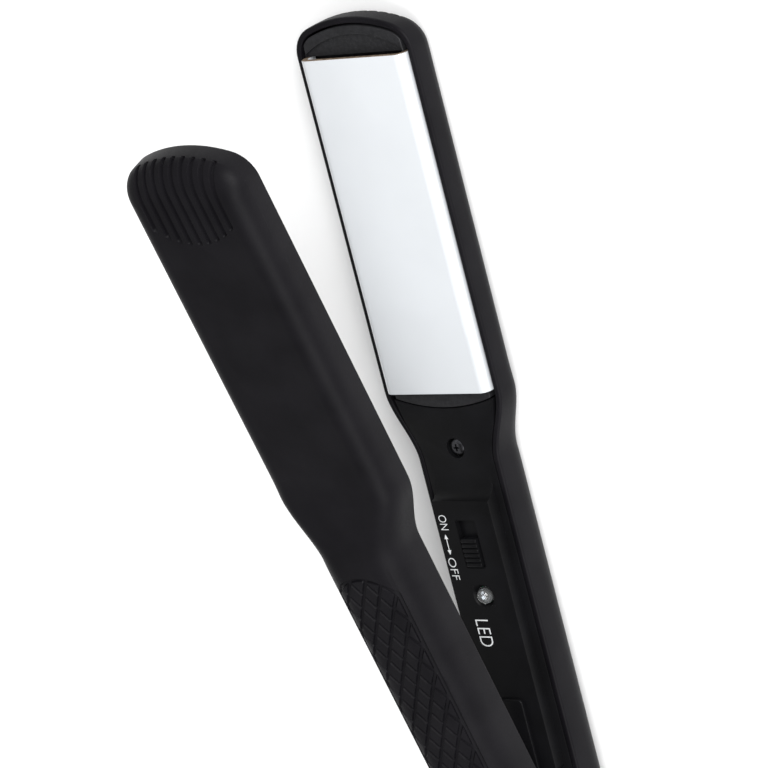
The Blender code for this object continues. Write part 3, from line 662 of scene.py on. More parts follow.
def grip_margin(x, y):
    """How far inside the grip's border a place is."""
    margin = GRIP_HALF - abs(y)
    front_centre = GRIP_FRONT_X - GRIP_ARC
    rear_centre = GRIP_REAR_X + GRIP_ARC
    if x > front_centre:
        margin = min(margin, GRIP_ARC - math.hypot(x - front_centre, y))
    if x < rear_centre:
        margin = min(margin, GRIP_ARC - math.hypot(x - rear_centre, y))
    return margin


def diamond_distance(x, y, lean):
    """Distance to the nearest diamond line that leans one way or the other."""
    along = (x - DIAMOND_STARTS[lean] + lean * y / DIAMOND_SLOPE) / DIAMOND_LENGTH
    miss = (along - round(along)) * DIAMOND_LENGTH
    return miss * DIAMOND_SLOPE / math.hypot(1, DIAMOND_SLOPE)


def grip_depth(x, y):
    margin = grip_margin(x, y)
    border = groove(margin, GRIP_GROOVE, GRIP_GROOVE_DEPTH)
    if margin < 0:
        return border
    diamonds = [
        groove(diamond_distance(x, y, lean), GRIP_GROOVE, GRIP_GROOVE_DEPTH)
        for lean in DIAMOND_STARTS
    ]
    return max(border, *diamonds)


def into_handle(x, y):
    """The way into the handle's wall at a place on its outer face."""
    over = abs(y) - (half_width(x) - edge_radius(x))
    if over <= 0:
        return Vector((0, 0, 1))
    sine = min(over / edge_radius(x), 0.97)
    return Vector((0, -math.copysign(sine, y), math.sqrt(1 - sine * sine)))


def score_arch(work, on_grip, centre, way, sectors=24):
    """Cuts the grip's rounded end: spokes first, then the arc's lines between two spokes."""
    half_turn = math.asin(GRIP_HALF / GRIP_ARC) + 0.04
    step = 2 * half_turn / sectors

    def direction(angle):
        return Vector((way * math.cos(angle), math.sin(angle), 0))

    def in_band(face):
        spot = face.calc_center_median() - centre
        by_arc = abs(spot.xy.length - GRIP_ARC) < GRIP_BAND
        return on_grip(face) and spot.x * way > 0 and by_arc

    spokes = []
    for i in range(sectors + 1):
        along = direction(i * step - half_turn)
        spokes.append((centre, Vector((-along.y, along.x, 0))))
    score(work, in_band, spokes)
    for i in range(sectors):
        along = direction((i + 0.5) * step - half_turn)

        def in_sector(face):
            spot = (face.calc_center_median() - centre).xy
            return in_band(face) and spot.angle(along.xy) < step / 2

        spot = centre + along * GRIP_ARC * math.cos(step / 2)
        score(work, in_sector, groove_planes(spot, along, GRIP_GROOVE))


def score_grip(work):
    """Cuts the diamond grip's lines and its border into the handle's outer face."""

    def on_grip(face):
        spot = face.calc_center_median()
        inside = GRIP_REAR_X - GRIP_MARGIN < spot.x < GRIP_FRONT_X + GRIP_MARGIN
        return inside and abs(spot.y) < GRIP_HALF + GRIP_MARGIN and face.normal.z < -0.2

    def near(spot, normal):
        def wanted(face):
            away = (face.calc_center_median() - spot).dot(normal)
            return on_grip(face) and abs(away) < GRIP_BAND

        return wanted

    steep = math.hypot(1, DIAMOND_SLOPE)
    for side in (1, -1):
        normal = Vector((0, side, 0))
        score(work, on_grip, groove_planes(normal * GRIP_HALF, normal, GRIP_GROOVE))
    for centre_x, way in ((GRIP_FRONT_X - GRIP_ARC, 1), (GRIP_REAR_X + GRIP_ARC, -1)):
        score_arch(work, on_grip, Vector((centre_x, 0, 0)), way)
    reach = GRIP_HALF / DIAMOND_SLOPE
    count = math.ceil((GRIP_FRONT_X - GRIP_REAR_X + reach) / DIAMOND_LENGTH) + 1
    for lean, start in DIAMOND_STARTS.items():
        normal = Vector((DIAMOND_SLOPE, lean, 0)) / steep
        for i in range(-2, count):
            spot = Vector((start - i * DIAMOND_LENGTH, 0, 0))
            score(work, near(spot, normal), groove_planes(spot, normal, GRIP_GROOVE))
    corners = {corner for face in work.faces if on_grip(face) for corner in face.verts}
    for corner in corners:
        x, y, _ = corner.co
        corner.co += into_handle(x, y) * grip_depth(x, y)


def rib_rear(y):
    return RIB_REAR_X + RIB_REAR_ARC - math.sqrt(RIB_REAR_ARC**2 - y * y)


def rib_depth(x, y, z):
    """Grooves between the tip's ribs: they start on an arc and run out over the tip."""
    nearest = round(y / RIB_PITCH)
    if abs(nearest) > RIB_COUNT // 2:
        return 0.0
    aside = y - nearest * RIB_PITCH
    rear = rib_rear(y)
    start = blend(x, rear - RIB_REAR_FADE[0], rear + RIB_REAR_FADE[1])
    bowed = z + RIB_END_BOW * (aside / RIB_GROOVE) ** 2
    run_out = 1 - blend(bowed, RIB_END_Z - RIB_END_FADE, RIB_END_Z)
    return groove(aside, RIB_GROOVE, RIB_GROOVE_DEPTH) * start * run_out


def score_ribs(work):
    """Cuts the lengthwise thumb ribs into the tip's outer face."""
    floor_end = TIP_X - TIP_ROUND
    arc = TIP_ARC - HEAD_EDGE

    def on_tip(face):
        spot = face.calc_center_median()
        ahead = spot.x > RIB_REAR_X - RIB_MARGIN
        return ahead and spot.z < -RIM - RIB_MARGIN and face.normal.z < -0.02

    for i in range(-RIB_COUNT // 2 + 1, RIB_COUNT // 2 + 1):
        normal = Vector((0, 1, 0))
        score(work, on_tip, groove_planes(normal * i * RIB_PITCH, normal, RIB_GROOVE))
    # Lines every 0.3 mm where the grooves start, and every 0.15 mm where they run out.
    along, up = Vector((1, 0, 0)), Vector((0, 0, 1))
    score(work, on_tip, [(along * (RIB_REAR_X + (i * 0.3 - 0.5) * MM), along) for i in range(22)])
    score(work, on_tip, [(up * (RIB_END_Z + (0.15 - 0.15 * i) * MM), up) for i in range(8)])
    corners = {corner for face in work.faces if on_tip(face) for corner in face.verts}
    for corner in corners:
        x, y, z = corner.co
        sag = arc - math.sqrt(arc * arc - min(y * y, arc * arc))
        over = max((x - floor_end + sag) / TIP_ROUND, 0.0)
        way = Vector((-RIB_TIP_LEAN * min(over, 1.0), 0, math.sqrt(1 - min(over, 0.97) ** 2)))
        corner.co += way.normalized() * rib_depth(x, y, z)


def grooved(piece):
    work = bmesh.new()
    work.from_mesh(piece.data)
    score_grip(work)
    score_ribs(work)
    work.to_mesh(piece.data)
    work.free()
    return piece


# --- inner covers -------------------------------------------------------------
def cover_sheet(name):
    inset = WALL + GAP
    inside = [(COVER_LOW.x, half_width(COVER_LOW.x) - inset)]
    for x in side_stations()[1:]:
        if x < CRESCENT_REAR_X - 4 * MM:
            inside.append((x, half_width(x) - inset))
    front_half = half_width(CRESCENT_REAR_X) - inset
    front = arc_across(CRESCENT_REAR_X - GAP, CRESCENT_REAR_ARC, front_half, -1)
    outline = inside + front + [(x, -y) for x, y in reversed(inside)]
    return soften(slab(name, outline, -RIM - COVER_THICK, -RIM), EDGE_SOFT, 2, angle=50)


def screw_seat(part, x):
    """A counterbore for a screw's head, with a boss under it."""
    boss = rod("screw_boss", BOSS_RADIUS, (x, 0, BOSS_FOOT), (x, 0, -RIM - COVER_THICK / 2))
    cut(part, boss, operation="UNION")
    seat = rod("screw_seat", SEAT_RADIUS, (x, 0, SEAT_FLOOR), (x, 0, 0))
    low, high = ((x, 0, z) for z in SCREW_HOLE_Z)
    hole = rod("screw_hole", SCREW_HOLE, low, high, sides=24)
    return cut(part, seat, hole)


def switch_panel():
    """The raised panel: a block with a hollowed ramp towards the plate and a step at its rear."""
    outline = rounded_rectangle((PANEL_REAR_X, PANEL_RAMP_X), PANEL_HALF, PANEL_CORNER)
    panel = slab("switch_panel", outline, -RIM - COVER_THICK / 2, PANEL_TOP)
    rise = PANEL_TOP + RIM
    run = PANEL_RAMP_X - PANEL_FRONT_X
    radius = (run**2 + rise**2) / (2 * rise)
    start, end = (Vector((PANEL_RAMP_X, side * RAMP_HALF, radius - RIM)) for side in (-1, 1))
    cut(panel, rod("panel_ramp", radius, start, end, sides=180))
    outline = rounded_rectangle((PANEL_REAR_X, STEP_FRONT_X), STEP_HALF, STEP_CORNER)
    step = slab("panel_step", outline, PANEL_TOP - 1 * MM, COVER_HIGH.z)
    soften(panel, PANEL_SOFT, 4, angle=28)
    soften(step, STEP_SOFT, 3)
    return cut(panel, step, operation="UNION")


def lower_cover():
    part = cover_sheet("lower_cover_moulding")
    cut(part, switch_panel(), operation="UNION")
    hollow_x = (PANEL_REAR_X + PANEL_ROOF, PANEL_FRONT_X - 0.5 * MM)
    hollow = rounded_rectangle(hollow_x, PANEL_HALF - PANEL_ROOF, 1 * MM)
    cut(part, slab("panel_hollow", hollow, -8 * MM, PANEL_TOP - PANEL_ROOF))
    window = rounded_rectangle((SLOT_REAR_X, SLOT_FRONT_X), SLOT_HALF, SLOT_CORNER)
    wide_x = (SLOT_REAR_X - SLOT_LIP, SLOT_FRONT_X + SLOT_LIP)
    wide = rounded_rectangle(wide_x, SLOT_HALF + SLOT_LIP, SLOT_LIP_CORNER)
    cut(part, slab("switch_window", window, *OPENING_Z))
    cut(part, slab("window_lip", wide, PANEL_TOP - SLOT_LIP, OPENING_Z[1]))
    bore = LAMP_RADIUS + GAP
    hole = rod("lamp_hole", bore, *((LAMP_X, 0, z) for z in OPENING_Z))
    sink_ends = ((LAMP_X, 0, z) for z in (PANEL_TOP - 1 * MM, PANEL_TOP + 0.01 * MM))
    sink = rod("lamp_sink", bore, *sink_ends, end_radius=LAMP_RING + GAP)
    cut(part, hole, sink)
    for side in (1, -1):
        x, y = LAMP_X + side * CATCH_OFFSET, side * CATCH_OFFSET
        foot, top = ((x, y, PANEL_TOP + z) for z in CATCH_Z)
        catch = rod("lamp_catch", CATCH_RADIUS, foot, top, sides=24)
        cut(part, soften(catch, 0.15 * MM, 3), operation="UNION")
    for x in SCREW_PLACES:
        screw_seat(part, x)
    return part


def upper_cover():
    part = cover_sheet("upper_cover_moulding")
    floor = (LAMP_X, 0, -RIM - POCKET_DEPTH)
    cut(part, rod("lamp_pocket", POCKET_RADIUS, floor, (LAMP_X, 0, 0)))
    for x in SCREW_PLACES:
        screw_seat(part, x)
    return part


# --- heating head -------------------------------------------------------------
def plate_surround(name):
    """The heat-resistant tray under the plate, with a half moon at each end of it."""
    half = FRAME_HIGH.y
    inset = WALL + 2 * GAP
    side = [(PLATE_HIGH.x - 1 * MM, half)]
    side += [(x, y) for x, y in tip_outline(inset, inset) if y < half]
    rear = arc_across(CRESCENT_REAR_X, CRESCENT_REAR_ARC, half - 0.6 * MM, -1)
    outline = side + [(x, -y) for x, y in reversed(side) if y > 1e-7] + rear[::-1]
    part = soften(slab(name, outline, FRAME_LOW.z, -RIM), EDGE_SOFT, 3, angle=50)
    well_x = (PLATE_LOW.x - GAP, PLATE_HIGH.x + GAP)
    well_z = (FRAME_LOW.z + TRAY_FLOOR, 5 * MM)
    cut(part, block("plate_well", well_x, (-WELL_HALF, WELL_HALF), well_z))
    ends = PLATE_HIGH.x - 2 * MM
    moon = arc_across(CRESCENT_FRONT_X, CRESCENT_FRONT_ARC, CRESCENT_HALF, 1)
    moon += [(ends, -CRESCENT_HALF), (ends, CRESCENT_HALF)]
    cut(part, slab("front_moon", moon, -RIM - CRESCENT_SINK, 2 * MM))
    lead_x = (CRESCENT_REAR_X - 2 * MM, PLATE_LOW.x + 2 * MM)
    lead_z = (FRAME_LOW.z + 1.6 * MM, LEAD_WAY_TOP_Z)
    return cut(part, block("lead_way", lead_x, (-LEAD_WAY_HALF, LEAD_WAY_HALF), lead_z))


def heating_plate(name):
    """A drawn aluminium channel under the ceramic coat: long edges rounded over, ends cut."""
    x, y, z = zip(PLATE_LOW, PLATE_HIGH)
    part = block(name, x, y, z)
    edit(part, "EDGE")
    pick_edges(part, lambda e: middle_of(e).z > z[1] - 1e-6 and abs(middle_of(e).y) > y[1] / 2)
    bpy.ops.mesh.bevel(offset=PLATE_FOLD, segments=12, affect="EDGES")
    bpy.ops.mesh.select_mode(type="FACE")
    pick_faces(part, lambda f: abs(f.normal.x) > 0.9 or f.normal.z < -0.9)
    bpy.ops.mesh.delete(type="FACE")
    done()
    apply_modifier(part, "SOLIDIFY", thickness=PLATE_THICK, offset=-1, use_even_offset=True)
    return soften(face_out(part), 0.2 * MM, 2, angle=50)


# --- switch and lamp ----------------------------------------------------------
def knob_slider():
    """The thumb piece: rounded cross ribs on a flange that keeps the slot shut."""
    x, z = (KNOB_X - KNOB_LENGTH / 2, KNOB_X + KNOB_LENGTH / 2), KNOB_HIGH.z
    flange_top = PANEL_TOP - PANEL_ROOF - GAP
    pitch = KNOB_LENGTH / KNOB_RIBS
    outline = [(x[0], flange_top - 0.4 * MM)]
    for i in range(KNOB_RIBS):
        for k in range(9):
            share = k / 8
            crest = math.sin(math.pi * share) ** 0.5
            outline.append((x[0] + (i + share) * pitch, z - KNOB_RIB_SINK * (1 - crest)))
    outline.append((x[1], flange_top - 0.4 * MM))
    ribbed = slab("knob_ribs", outline, -KNOB_HALF, KNOB_HALF)
    moved(ribbed, Matrix.Rotation(math.pi / 2, 4, "X"))
    soften(ribbed, 0.25 * MM, 3, angle=60)
    flange_x, flange_y, _ = zip(KNOB_LOW, KNOB_HIGH)
    flange = block("switch_slider", flange_x, flange_y, (flange_top - 0.9 * MM, flange_top))
    stem_x, stem_y = (KNOB_X - 1.2 * MM, KNOB_X + 1.2 * MM), (-1 * MM, 1 * MM)
    stem = block("knob_stem", stem_x, stem_y, (KNOB_LOW.z, -1 * MM))
    return cut(flange, ribbed, stem, operation="UNION")


def lamp_lens():
    """A 5 mm lamp: a dome on a cylinder."""
    dome_z = LAMP_HIGH.z - LAMP_RADIUS
    profile = [(0, LAMP_FOOT), (LAMP_RADIUS, LAMP_FOOT), (LAMP_RADIUS, dome_z)]
    for i in range(1, 13):
        angle = math.pi / 2 * i / 12
        profile.append((LAMP_RADIUS * math.cos(angle), dome_z + LAMP_RADIUS * math.sin(angle)))
    return moved(turned("lamp_lens", profile, 48), Matrix.Translation((LAMP_X, 0, 0)))


def lamp_cup():
    """The reflector cup and the two wires inside the clear lens."""
    profile = [(0, -2.2), (0.7, -2.2), (1.5, 0), (1.3, 0.1), (0, -1.2)]
    cup = turned("lamp_cup", [(radius * MM, height * MM) for radius, height in profile], 32)
    for side in (1, -1):
        y = side * LAMP_WIRE_Y
        wire = rod("lamp_wire", 0.25 * MM, (0, y, LAMP_LOW.z), (0, y, -1 * MM), sides=12)
        cut(cup, wire, operation="UNION")
    return moved(cup, Matrix.Translation((LAMP_X, 0, 0)))


# --- small metal and turned pieces --------------------------------------------
def cross_screw():
    """A pan-head screw with a tapered cross recess, its head's top at height zero."""
    profile = [(0, 0)]
    for i in range(1, 9):
        share = i / 8
        profile.append((SCREW_HEAD * share, -SCREW_DOME * share**3))
    head_foot = SEAT_FLOOR + 0.3 * MM + RIM + 0.35 * MM
    profile += [(SCREW_HEAD, head_foot), (SCREW_SHANK, head_foot)]
    profile += [(SCREW_SHANK, SCREW_END_Z[0]), (0, SCREW_END_Z[1])]
    screw = turned("cross_screw", profile, 48)
    for turn in (0, 90):
        bpy.ops.mesh.primitive_cube_add(size=1, location=(0, 0, 0), scale=RECESS_SIZE)
        slot = newest("cross_slot")
        edit(slot)
        pick_faces(slot, lambda face: face.normal.z < -0.9)
        bpy.ops.transform.resize(value=RECESS_TAPER, center_override=(0, 0, 0))
        done()
        moved(slot, Matrix.Rotation(math.radians(turn), 4, "Z"))
        cut(screw, slot)
    return screw


def pin_cap(name, side):
    """A low domed cap over an end of the hinge pin."""
    seat = EAR_Y[1] - 1.15 * MM
    outside = EAR_Y[1] + 0.4 * MM
    shoulder = outside - 0.5 * MM
    profile = [(0, seat), (CAP_RADIUS, seat), (CAP_RADIUS, shoulder)]
    for i in range(1, 7):
        angle = math.pi / 2 * i / 6
        radius = CAP_RADIUS - 0.45 * MM * (1 - math.cos(angle))
        profile.append((radius, shoulder + 0.3 * MM * math.sin(angle)))
    profile += [(CAP_RADIUS * 0.45, outside - 0.05 * MM), (0, outside)]
    cap = turned(name, profile, 48)
    return face_out(moved(cap, Matrix.Rotation(-side * math.pi / 2, 4, "X")))


def spring_route():
    """The opening spring: a leg on each cover and a coil round the pin."""
    half, leg_z = SPRING_HALF, -RIM + SPRING_WIRE + 0.25 * MM
    near_leg, middle_leg, far_leg = SPRING_LEGS
    route = [(far_leg, -half, leg_z), (middle_leg, -half, leg_z)]
    route.append((near_leg, -half, leg_z - 0.1 * MM))
    turns = SPRING_TURNS + OPEN_ANGLE / math.tau - 1 / 3
    steps = round(turns * 20)
    for i in range(steps + 1):
        angle = math.radians(-60) - math.tau * turns * i / steps
        x, z = SPRING_RADIUS * math.cos(angle), SPRING_RADIUS * math.sin(angle)
        route.append((x, half * (2 * i / steps - 1), z))
    lift, run = math.sin(OPEN_ANGLE), math.cos(OPEN_ANGLE)
    for reach in SPRING_LEGS:
        route.append((reach * run + leg_z * lift, half, reach * lift - leg_z * run))
    return route


def bent_wire(name, route, radius):
    """A round wire along a route, made a mesh."""
    bpy.ops.curve.primitive_nurbs_path_add()
    path = bpy.context.object
    path.name = name
    path.data.splines.clear()
    line = path.data.splines.new("POLY")
    line.points.add(len(route) - 1)
    for point, place in zip(line.points, route):
        point.co = (*place, 1)
    path.data.bevel_depth = radius
    path.data.bevel_resolution = 4
    path.data.use_fill_caps = True
    select_only(path)
    bpy.ops.object.convert(target="MESH")
    return face_out(newest(name))


def cord_gland():
    """The turning gland: a shouldered bush with two grip rings, drawn about Z."""
    collar = GLAND_COLLAR
    foot, inside = GLAND_X
    seat = GLAND_SEAT_X + GAP
    neck = OUTLET_HOLE - GAP
    profile = [
        (CORD_HOLE, inside), (4.2 * MM, inside), (4.2 * MM, seat + 1.5 * MM),
        (5.8 * MM, seat + 1.5 * MM), (5.8 * MM, seat), (neck, seat), (neck, -16.4 * MM),
        (collar - 0.4 * MM, -16.4 * MM), (collar, -16.8 * MM), (collar, -17.5 * MM),
        (collar - 0.4 * MM, -17.8 * MM), (collar, -18.1 * MM), (collar, -18.9 * MM),
        (collar - 0.2 * MM, -19.6 * MM), (collar - 0.7 * MM, -20.1 * MM), (6 * MM, -20.5 * MM),
        (5.9 * MM, -21.3 * MM), (5.5 * MM, -22.2 * MM), (5 * MM, foot),
        (CORD_HOLE + 0.4 * MM, foot), (CORD_HOLE, foot + 0.4 * MM),
    ]
    gland = turned("cord_gland", profile, 64)
    place = Matrix.Translation((0, 0, OUTLET_Z)) @ Matrix.Rotation(math.pi / 2, 4, "Y")
    return moved(gland, place)


# --- printed legends ----------------------------------------------------------
def printed(name, words, x, y):
    """Words printed on the panel, read from the tip, in a box of X and Y."""
    bpy.ops.object.text_add()
    text = bpy.context.object
    text.data.body = words
    text.data.extrude = 0.01 * MM
    text.data.resolution_u = 6
    text.data.offset = -0.012
    select_only(text)
    bpy.ops.object.convert(target="MESH")
    piece = newest(name)
    low = [min(corner.co[i] for corner in piece.data.vertices) for i in range(2)]
    high = [max(corner.co[i] for corner in piece.data.vertices) for i in range(2)]
    for corner in piece.data.vertices:
        across = (corner.co.x - low[0]) / (high[0] - low[0])
        up = (corner.co.y - low[1]) / (high[1] - low[1])
        raised = PANEL_TOP + (INK_FRONT if corner.co.z > 0 else INK_BACK)
        corner.co = (x[0] + (x[1] - x[0]) * across, y[0] + (y[1] - y[0]) * up, raised)
    return face_out(piece)


def printed_arrow(name, x, y):
    """An arrow from ON to OFF with a triangular head at each end."""
    middle, thin, wide, head = y, 0.14 * MM, 0.7 * MM, 1.5 * MM
    outline = [(x[0], middle), (x[0] - head, middle + wide), (x[0] - head, middle + thin)]
    outline += [(x[1] + head, middle + thin), (x[1] + head, middle + wide), (x[1], middle)]
    outline += [(px, 2 * middle - py) for px, py in outline[-2:0:-1]]
    return slab(name, outline, PANEL_TOP + INK_BACK, PANEL_TOP + INK_FRONT)


# --- finishes -----------------------------------------------------------------
def paint(code):
    """An sRGB hex colour as linear values."""
    shares = [int(code[i : i + 2], 16) / 255 for i in (1, 3, 5)]
    return (*[s / 12.92 if s <= 0.04045 else ((s + 0.055) / 1.055) ** 2.4 for s in shares], 1.0)


def every(length_mm):
    """Pattern scale at which a noise has one blotch per length."""
    return 1 / (length_mm * MM)


def add_node(material, kind, inputs=None, **settings):
    node = material.node_tree.nodes.new(kind)
    for name, value in settings.items():
        setattr(node, name, value)
    for name, value in (inputs or {}).items():
        if isinstance(value, bpy.types.NodeSocket):
            material.node_tree.links.new(value, node.inputs[name])
        else:
            node.inputs[name].default_value = value
    return node


def new_finish(name, **sockets):
    """A material with its constants on the shader's own sockets."""
    material = bpy.data.materials.new(name)
    material.use_nodes = True
    shader = material.node_tree.nodes["Principled BSDF"]
    for socket, value in sockets.items():
        shader.inputs[socket.replace("_", " ")].default_value = value
    return material, shader


def into(material, shader, **outputs):
    for socket, output in outputs.items():
        material.node_tree.links.new(output, shader.inputs[socket.replace("_", " ")])


def noise(material, blotch_mm, detail=2.0, stretch=(1, 1, 1)):
    place = add_node(material, "ShaderNodeTexCoord").outputs["Object"]
    if stretch != (1, 1, 1):
        drawn = {"Vector": place, "Scale": stretch}
        place = add_node(material, "ShaderNodeMapping", drawn).outputs["Vector"]
    texture = {"Vector": place, "Scale": every(blotch_mm), "Detail": detail}
    return add_node(material, "ShaderNodeTexNoise", texture).outputs["Fac"]


def between(material, share, low, high):
    """A share from 0.3 to 0.7, as a noise gives, stretched over low to high."""
    spread = {"Value": share, "From Min": 0.3, "From Max": 0.7, "To Min": low, "To Max": high}
    return add_node(material, "ShaderNodeMapRange", spread).outputs["Result"]


def two_tone(material, share, first, second):
    ramp = add_node(material, "ShaderNodeValToRGB", {"Fac": share})
    for stop, place, code in zip(ramp.color_ramp.elements, (0.35, 0.65), (first, second)):
        stop.position = place
        stop.color = paint(code)
    return ramp.outputs["Color"]


def bumpy(material, height, high_mm):
    relief = {"Height": height, "Distance": high_mm * MM, "Strength": 1.0}
    return add_node(material, "ShaderNodeBump", relief).outputs["Normal"]


def finish(name, colours, rough, grain_mm, relief_mm, blotch_mm=14.0, stretch=(1, 1, 1), **sockets):
    """A finish of two close tones, uneven gloss and a fine relief."""
    material, shader = new_finish(name, **sockets)
    broad = noise(material, blotch_mm, 3.0, stretch)
    fine = noise(material, grain_mm, 2.0, stretch)
    into(
        material,
        shader,
        Base_Color=two_tone(material, broad, *colours),
        Roughness=between(material, fine, *rough),
        Normal=bumpy(material, fine, relief_mm),
    )
    return material


# Filled nylon from a spark-eroded mould: matt, with a grain that softens the highlights.
MATT_NYLON = finish(
    "matt moulded nylon", ("#0D0C0F", "#121114"), (0.42, 0.54), 0.35, 0.02,
    Specular_IOR_Level=0.08,
)
# The inner covers come from a finer mould and look a little deeper and smoother.
SATIN_NYLON = finish(
    "satin moulded nylon", ("#0C0C0D", "#101012"), (0.36, 0.46), 0.3, 0.012,
    Specular_IOR_Level=0.1,
)
# Heat-resistant PPS round the plate: greyer and drier, with short glass fibres in it.
GLASS_FILLED_PPS = finish(
    "glass-filled PPS", ("#161618", "#1E1E20"), (0.46, 0.6), 0.5, 0.035, 1.2,
    Specular_IOR_Level=0.25,
)
# Polished acetal: the slider, the caps and the gland are smoother to the touch.
ACETAL = finish(
    "black acetal", ("#0B0B0C", "#0E0E10"), (0.34, 0.42), 0.4, 0.006, Specular_IOR_Level=0.12
)
# Sprayed and fired ceramic: a cool white with a deep gloss and a faint orange peel.
CERAMIC_COAT = finish(
    "white ceramic coat", ("#BDC0C3", "#C3C6C9"), (0.12, 0.2), 2.5, 0.004, 40.0,
    Coat_Weight=0.6, Coat_Roughness=0.06,
)
# Where the coated plate was cut to length the coat is burnt to a thin brown line.
CUT_EDGE = finish("browned cut edge", ("#6A5A4C", "#8C7B6A"), (0.35, 0.5), 0.4, 0.02, 1.5)
# Blackened zinc on steel: dark metal that catches light along the recess.
BLACK_ZINC = finish(
    "black zinc plated steel", ("#4A4A4D", "#5C5C60"), (0.26, 0.36), 0.25, 0.006, 2.0,
    Metallic=1.0,
)
# Drawn music wire: bright, with fine lines along the draw.
MUSIC_WIRE = finish(
    "drawn spring steel", ("#9C9C9C", "#B4B4B2"), (0.24, 0.38), 0.2, 0.004, 3.0,
    stretch=(0.2, 1, 1), Metallic=1.0,
)
# Extruded aluminium: pale metal with die lines along the arm.
EXTRUDED_ALUMINIUM = finish(
    "extruded aluminium", ("#C3C5C7", "#D2D4D5"), (0.28, 0.44), 0.3, 0.008, 4.0,
    stretch=(0.05, 1, 1), Metallic=1.0,
)
# Pressed steatite round the heating wire: chalky, unglazed and slightly warm.
STEATITE = finish("pressed steatite", ("#D8CFBE", "#E4DCCD"), (0.6, 0.78), 0.4, 0.03, 3.0)
# Peroxide-cured silicone: dull brick red rubber.
SILICONE_RUBBER = finish(
    "red silicone rubber", ("#8E3A2C", "#9C4536"), (0.6, 0.75), 0.5, 0.02, 5.0,
    Subsurface_Weight=0.05,
)
# Unfilled nylon of the hidden switch body and retainer.
DARK_NYLON = finish("dark nylon", ("#28282A", "#303033"), (0.42, 0.55), 0.4, 0.012)
# Solder mask over glass-epoxy laminate: green and glossy, the weave just showing.
SOLDER_MASK = finish("green solder mask", ("#12472A", "#1B5A36"), (0.22, 0.34), 0.9, 0.012, 1.8)
# Tinned brass case of the thermal fuse.
BRASS = finish("rolled brass", ("#B08D4C", "#C4A15C"), (0.26, 0.4), 0.3, 0.006, 3.0, Metallic=1.0)
# Braided glass-fibre sleeve: off-white, with a yarn every half millimetre.
FIBRE_SLEEVE = finish(
    "braided glass-fibre sleeve", ("#D6CFBF", "#E9E3D6"), (0.6, 0.8), 0.5, 0.08, 0.6
)
# The lamp's plated cup: smooth but greyed, so the dome over it keeps the brightest glint.
SILVERED_CUP = finish(
    "silvered cup", ("#5A5D61", "#66696D"), (0.12, 0.22), 0.3, 0.003, 2.0, Metallic=1.0
)
# Pad-printed ink: flat white, thin enough for the black to grey it slightly.
WHITE_INK = finish("white printing ink", ("#D9DCDE", "#E6E8E9"), (0.5, 0.62), 0.2, 0.004, 1.0)
# Cast epoxy: a water-clear dome that shows the cup under it and catches a small glint.
LENS_EPOXY = finish(
    "clear cast epoxy", ("#EEF2F2", "#F6F8F8"), (0.02, 0.05), 1.0, 0.002, 3.0,
    Transmission_Weight=0.92, IOR=1.54,
)


# --- building -----------------------------------------------------------------
for arm, moulding in (("lower", lower_shell), ("upper", upper_shell)):
    shell = grooved(moulding())
    settle(shell, f"{arm}_arm", MATT_NYLON, [f"{arm}_outer_shell"], arm)
for arm, moulding in (("lower", lower_cover), ("upper", upper_cover)):
    cover = moulding()
    settle(cover, f"{arm}_arm", SATIN_NYLON, [f"{arm}_inner_cover"], arm)

surround = plate_surround("lower_plate_surround")
plate = heating_plate("lower_ceramic_plate")
screw = cross_screw()
for arm in ("upper", "lower"):
    last = arm == "lower"
    tray = surround if last else copy_of(surround, "upper_plate_surround")
    face = plate if last else copy_of(plate, "upper_ceramic_plate")
    settle(tray, f"{arm}_arm", GLASS_FILLED_PPS, [f"{arm}_plate_frame"], arm)
    settle(face, f"{arm}_plate", CERAMIC_COAT, [f"{arm}_plate"], arm)
    face.data.materials.append(CUT_EDGE)
    along = ARMS[arm].to_3x3() @ Vector((1, 0, 0))
    for polygon in face.data.polygons:
        polygon.material_index = int(abs(polygon.normal.dot(along)) > 0.7)
    for place, x in zip(("neck", "rear"), SCREW_PLACES):
        twin = copy_of(screw, f"{arm}_{place}_cover_screw")
        moved(twin, Matrix.Translation((x, 0, SCREW_TOP)))
        settle(twin, f"{arm}_arm", BLACK_ZINC, [f"{arm}_{place}_screw"], arm)
bpy.data.objects.remove(screw, do_unlink=True)

settle(knob_slider(), "switch_knob", ACETAL, ["switch_knob"], "lower")
settle(lamp_lens(), "lower_arm", LENS_EPOXY, ["signal_lamp"], "lower")
settle(lamp_cup(), "lower_arm", SILVERED_CUP, (), "lower")
for side, tag in ((1, "left"), (-1, "right")):
    cap = pin_cap(f"pin_cap_{tag}", side)
    settle(cap, "lower_arm", ACETAL, [f"hinge_cap_{tag}"], "lower")
settle(cord_gland(), "cord_swivel", ACETAL, ["cord_swivel"], "lower")

for name, words, x, y in LEGENDS:
    settle(printed(name, words, x, y), "lower_arm", WHITE_INK, (), "lower")
arrow = printed_arrow("legend_arrow", ARROW_X, ARROW_Y)
settle(arrow, "lower_arm", WHITE_INK, (), "lower")

spring = moved(bent_wire("hinge_spring", spring_route(), SPRING_WIRE), ARMS["lower"])
spring.data.materials.append(MUSIC_WIRE)
spring.data.shade_smooth()
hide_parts("opening_spring")
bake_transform(spring)

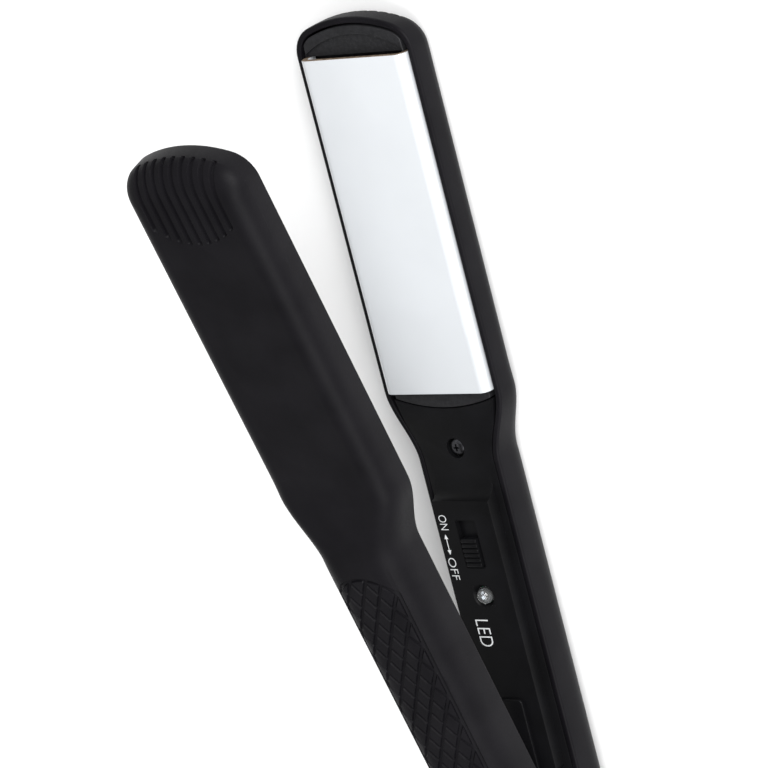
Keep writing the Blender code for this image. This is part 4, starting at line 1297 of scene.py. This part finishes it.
KEPT_NODES = {
    "heat_spreader": EXTRUDED_ALUMINIUM,
    "heating_element": STEATITE,
    "element_clip": MUSIC_WIRE,
    "cushion_rear": SILICONE_RUBBER,
    "cushion_front": SILICONE_RUBBER,
    "lead_a": FIBRE_SLEEVE,
    "lead_b": FIBRE_SLEEVE,
    "switch_body": DARK_NYLON,
    "circuit_board": SOLDER_MASK,
    "thermal_fuse": BRASS,
    "hinge_pin": MUSIC_WIRE,
    "swivel_retainer": DARK_NYLON,
}
for name, node in frame["nodes"].items():
    kept = KEPT_NODES.get(name.removeprefix("lower_").removeprefix("upper_"))
    if kept:
        for place in node.material_slots:
            place.material = kept


# --- studio -------------------------------------------------------------------
def studio_floor():
    bpy.ops.mesh.primitive_plane_add(size=12, location=(0, 0, FLOOR_Z))
    floor = newest("studio_floor")
    edit(floor, "FACE", "SELECT")
    bpy.ops.mesh.subdivide(number_cuts=8)
    done()
    # A matt white paper sweep.
    floor.data.materials.append(
        finish("white paper", ("#F4F4F4", "#F7F7F7"), (0.8, 0.9), 3.0, 0.02, 300.0)
    )


def soft_light(name, spot, size, power):
    """A square soft box that points at the middle of the iron."""
    bpy.ops.object.light_add(type="AREA", location=spot)
    light = bpy.context.object
    light.name = name
    light.data.shape = "SQUARE"
    light.data.size = size
    light.data.energy = power
    light.rotation_euler = (Vector(AIM) - Vector(spot)).to_track_quat("-Z", "Y").to_euler()


def studio_camera():
    """A long lens above the tip end and to the right of the arms."""
    bpy.ops.object.camera_add()
    camera = bpy.context.object
    camera.name = "studio_camera"
    camera.data.lens = CAMERA_LENS
    camera.data.sensor_width = 36
    camera.data.clip_end = 30
    turn = Euler([math.radians(angle) for angle in CAMERA_TURN], "XYZ").to_matrix().to_4x4()
    camera.matrix_world = ARMS["lower"] @ Matrix.Translation(CAMERA_SPOT) @ turn
    bpy.context.scene.camera = camera


studio_floor()
soft_light("key_softbox", (1.2, -1.6, 1.5), 1.6, 78)
soft_light("fill_softbox", (-0.9, -1.3, 1.7), 1.4, 34)
studio_camera()
world = bpy.data.worlds.new("pale_studio")
world.use_nodes = True
backdrop = world.node_tree.nodes["Background"]
backdrop.inputs["Color"].default_value = paint("#FFFFFF")
backdrop.inputs["Strength"].default_value = WORLD_STRENGTH
bpy.context.scene.world = world
bpy.context.scene.view_settings.view_transform = "Standard"
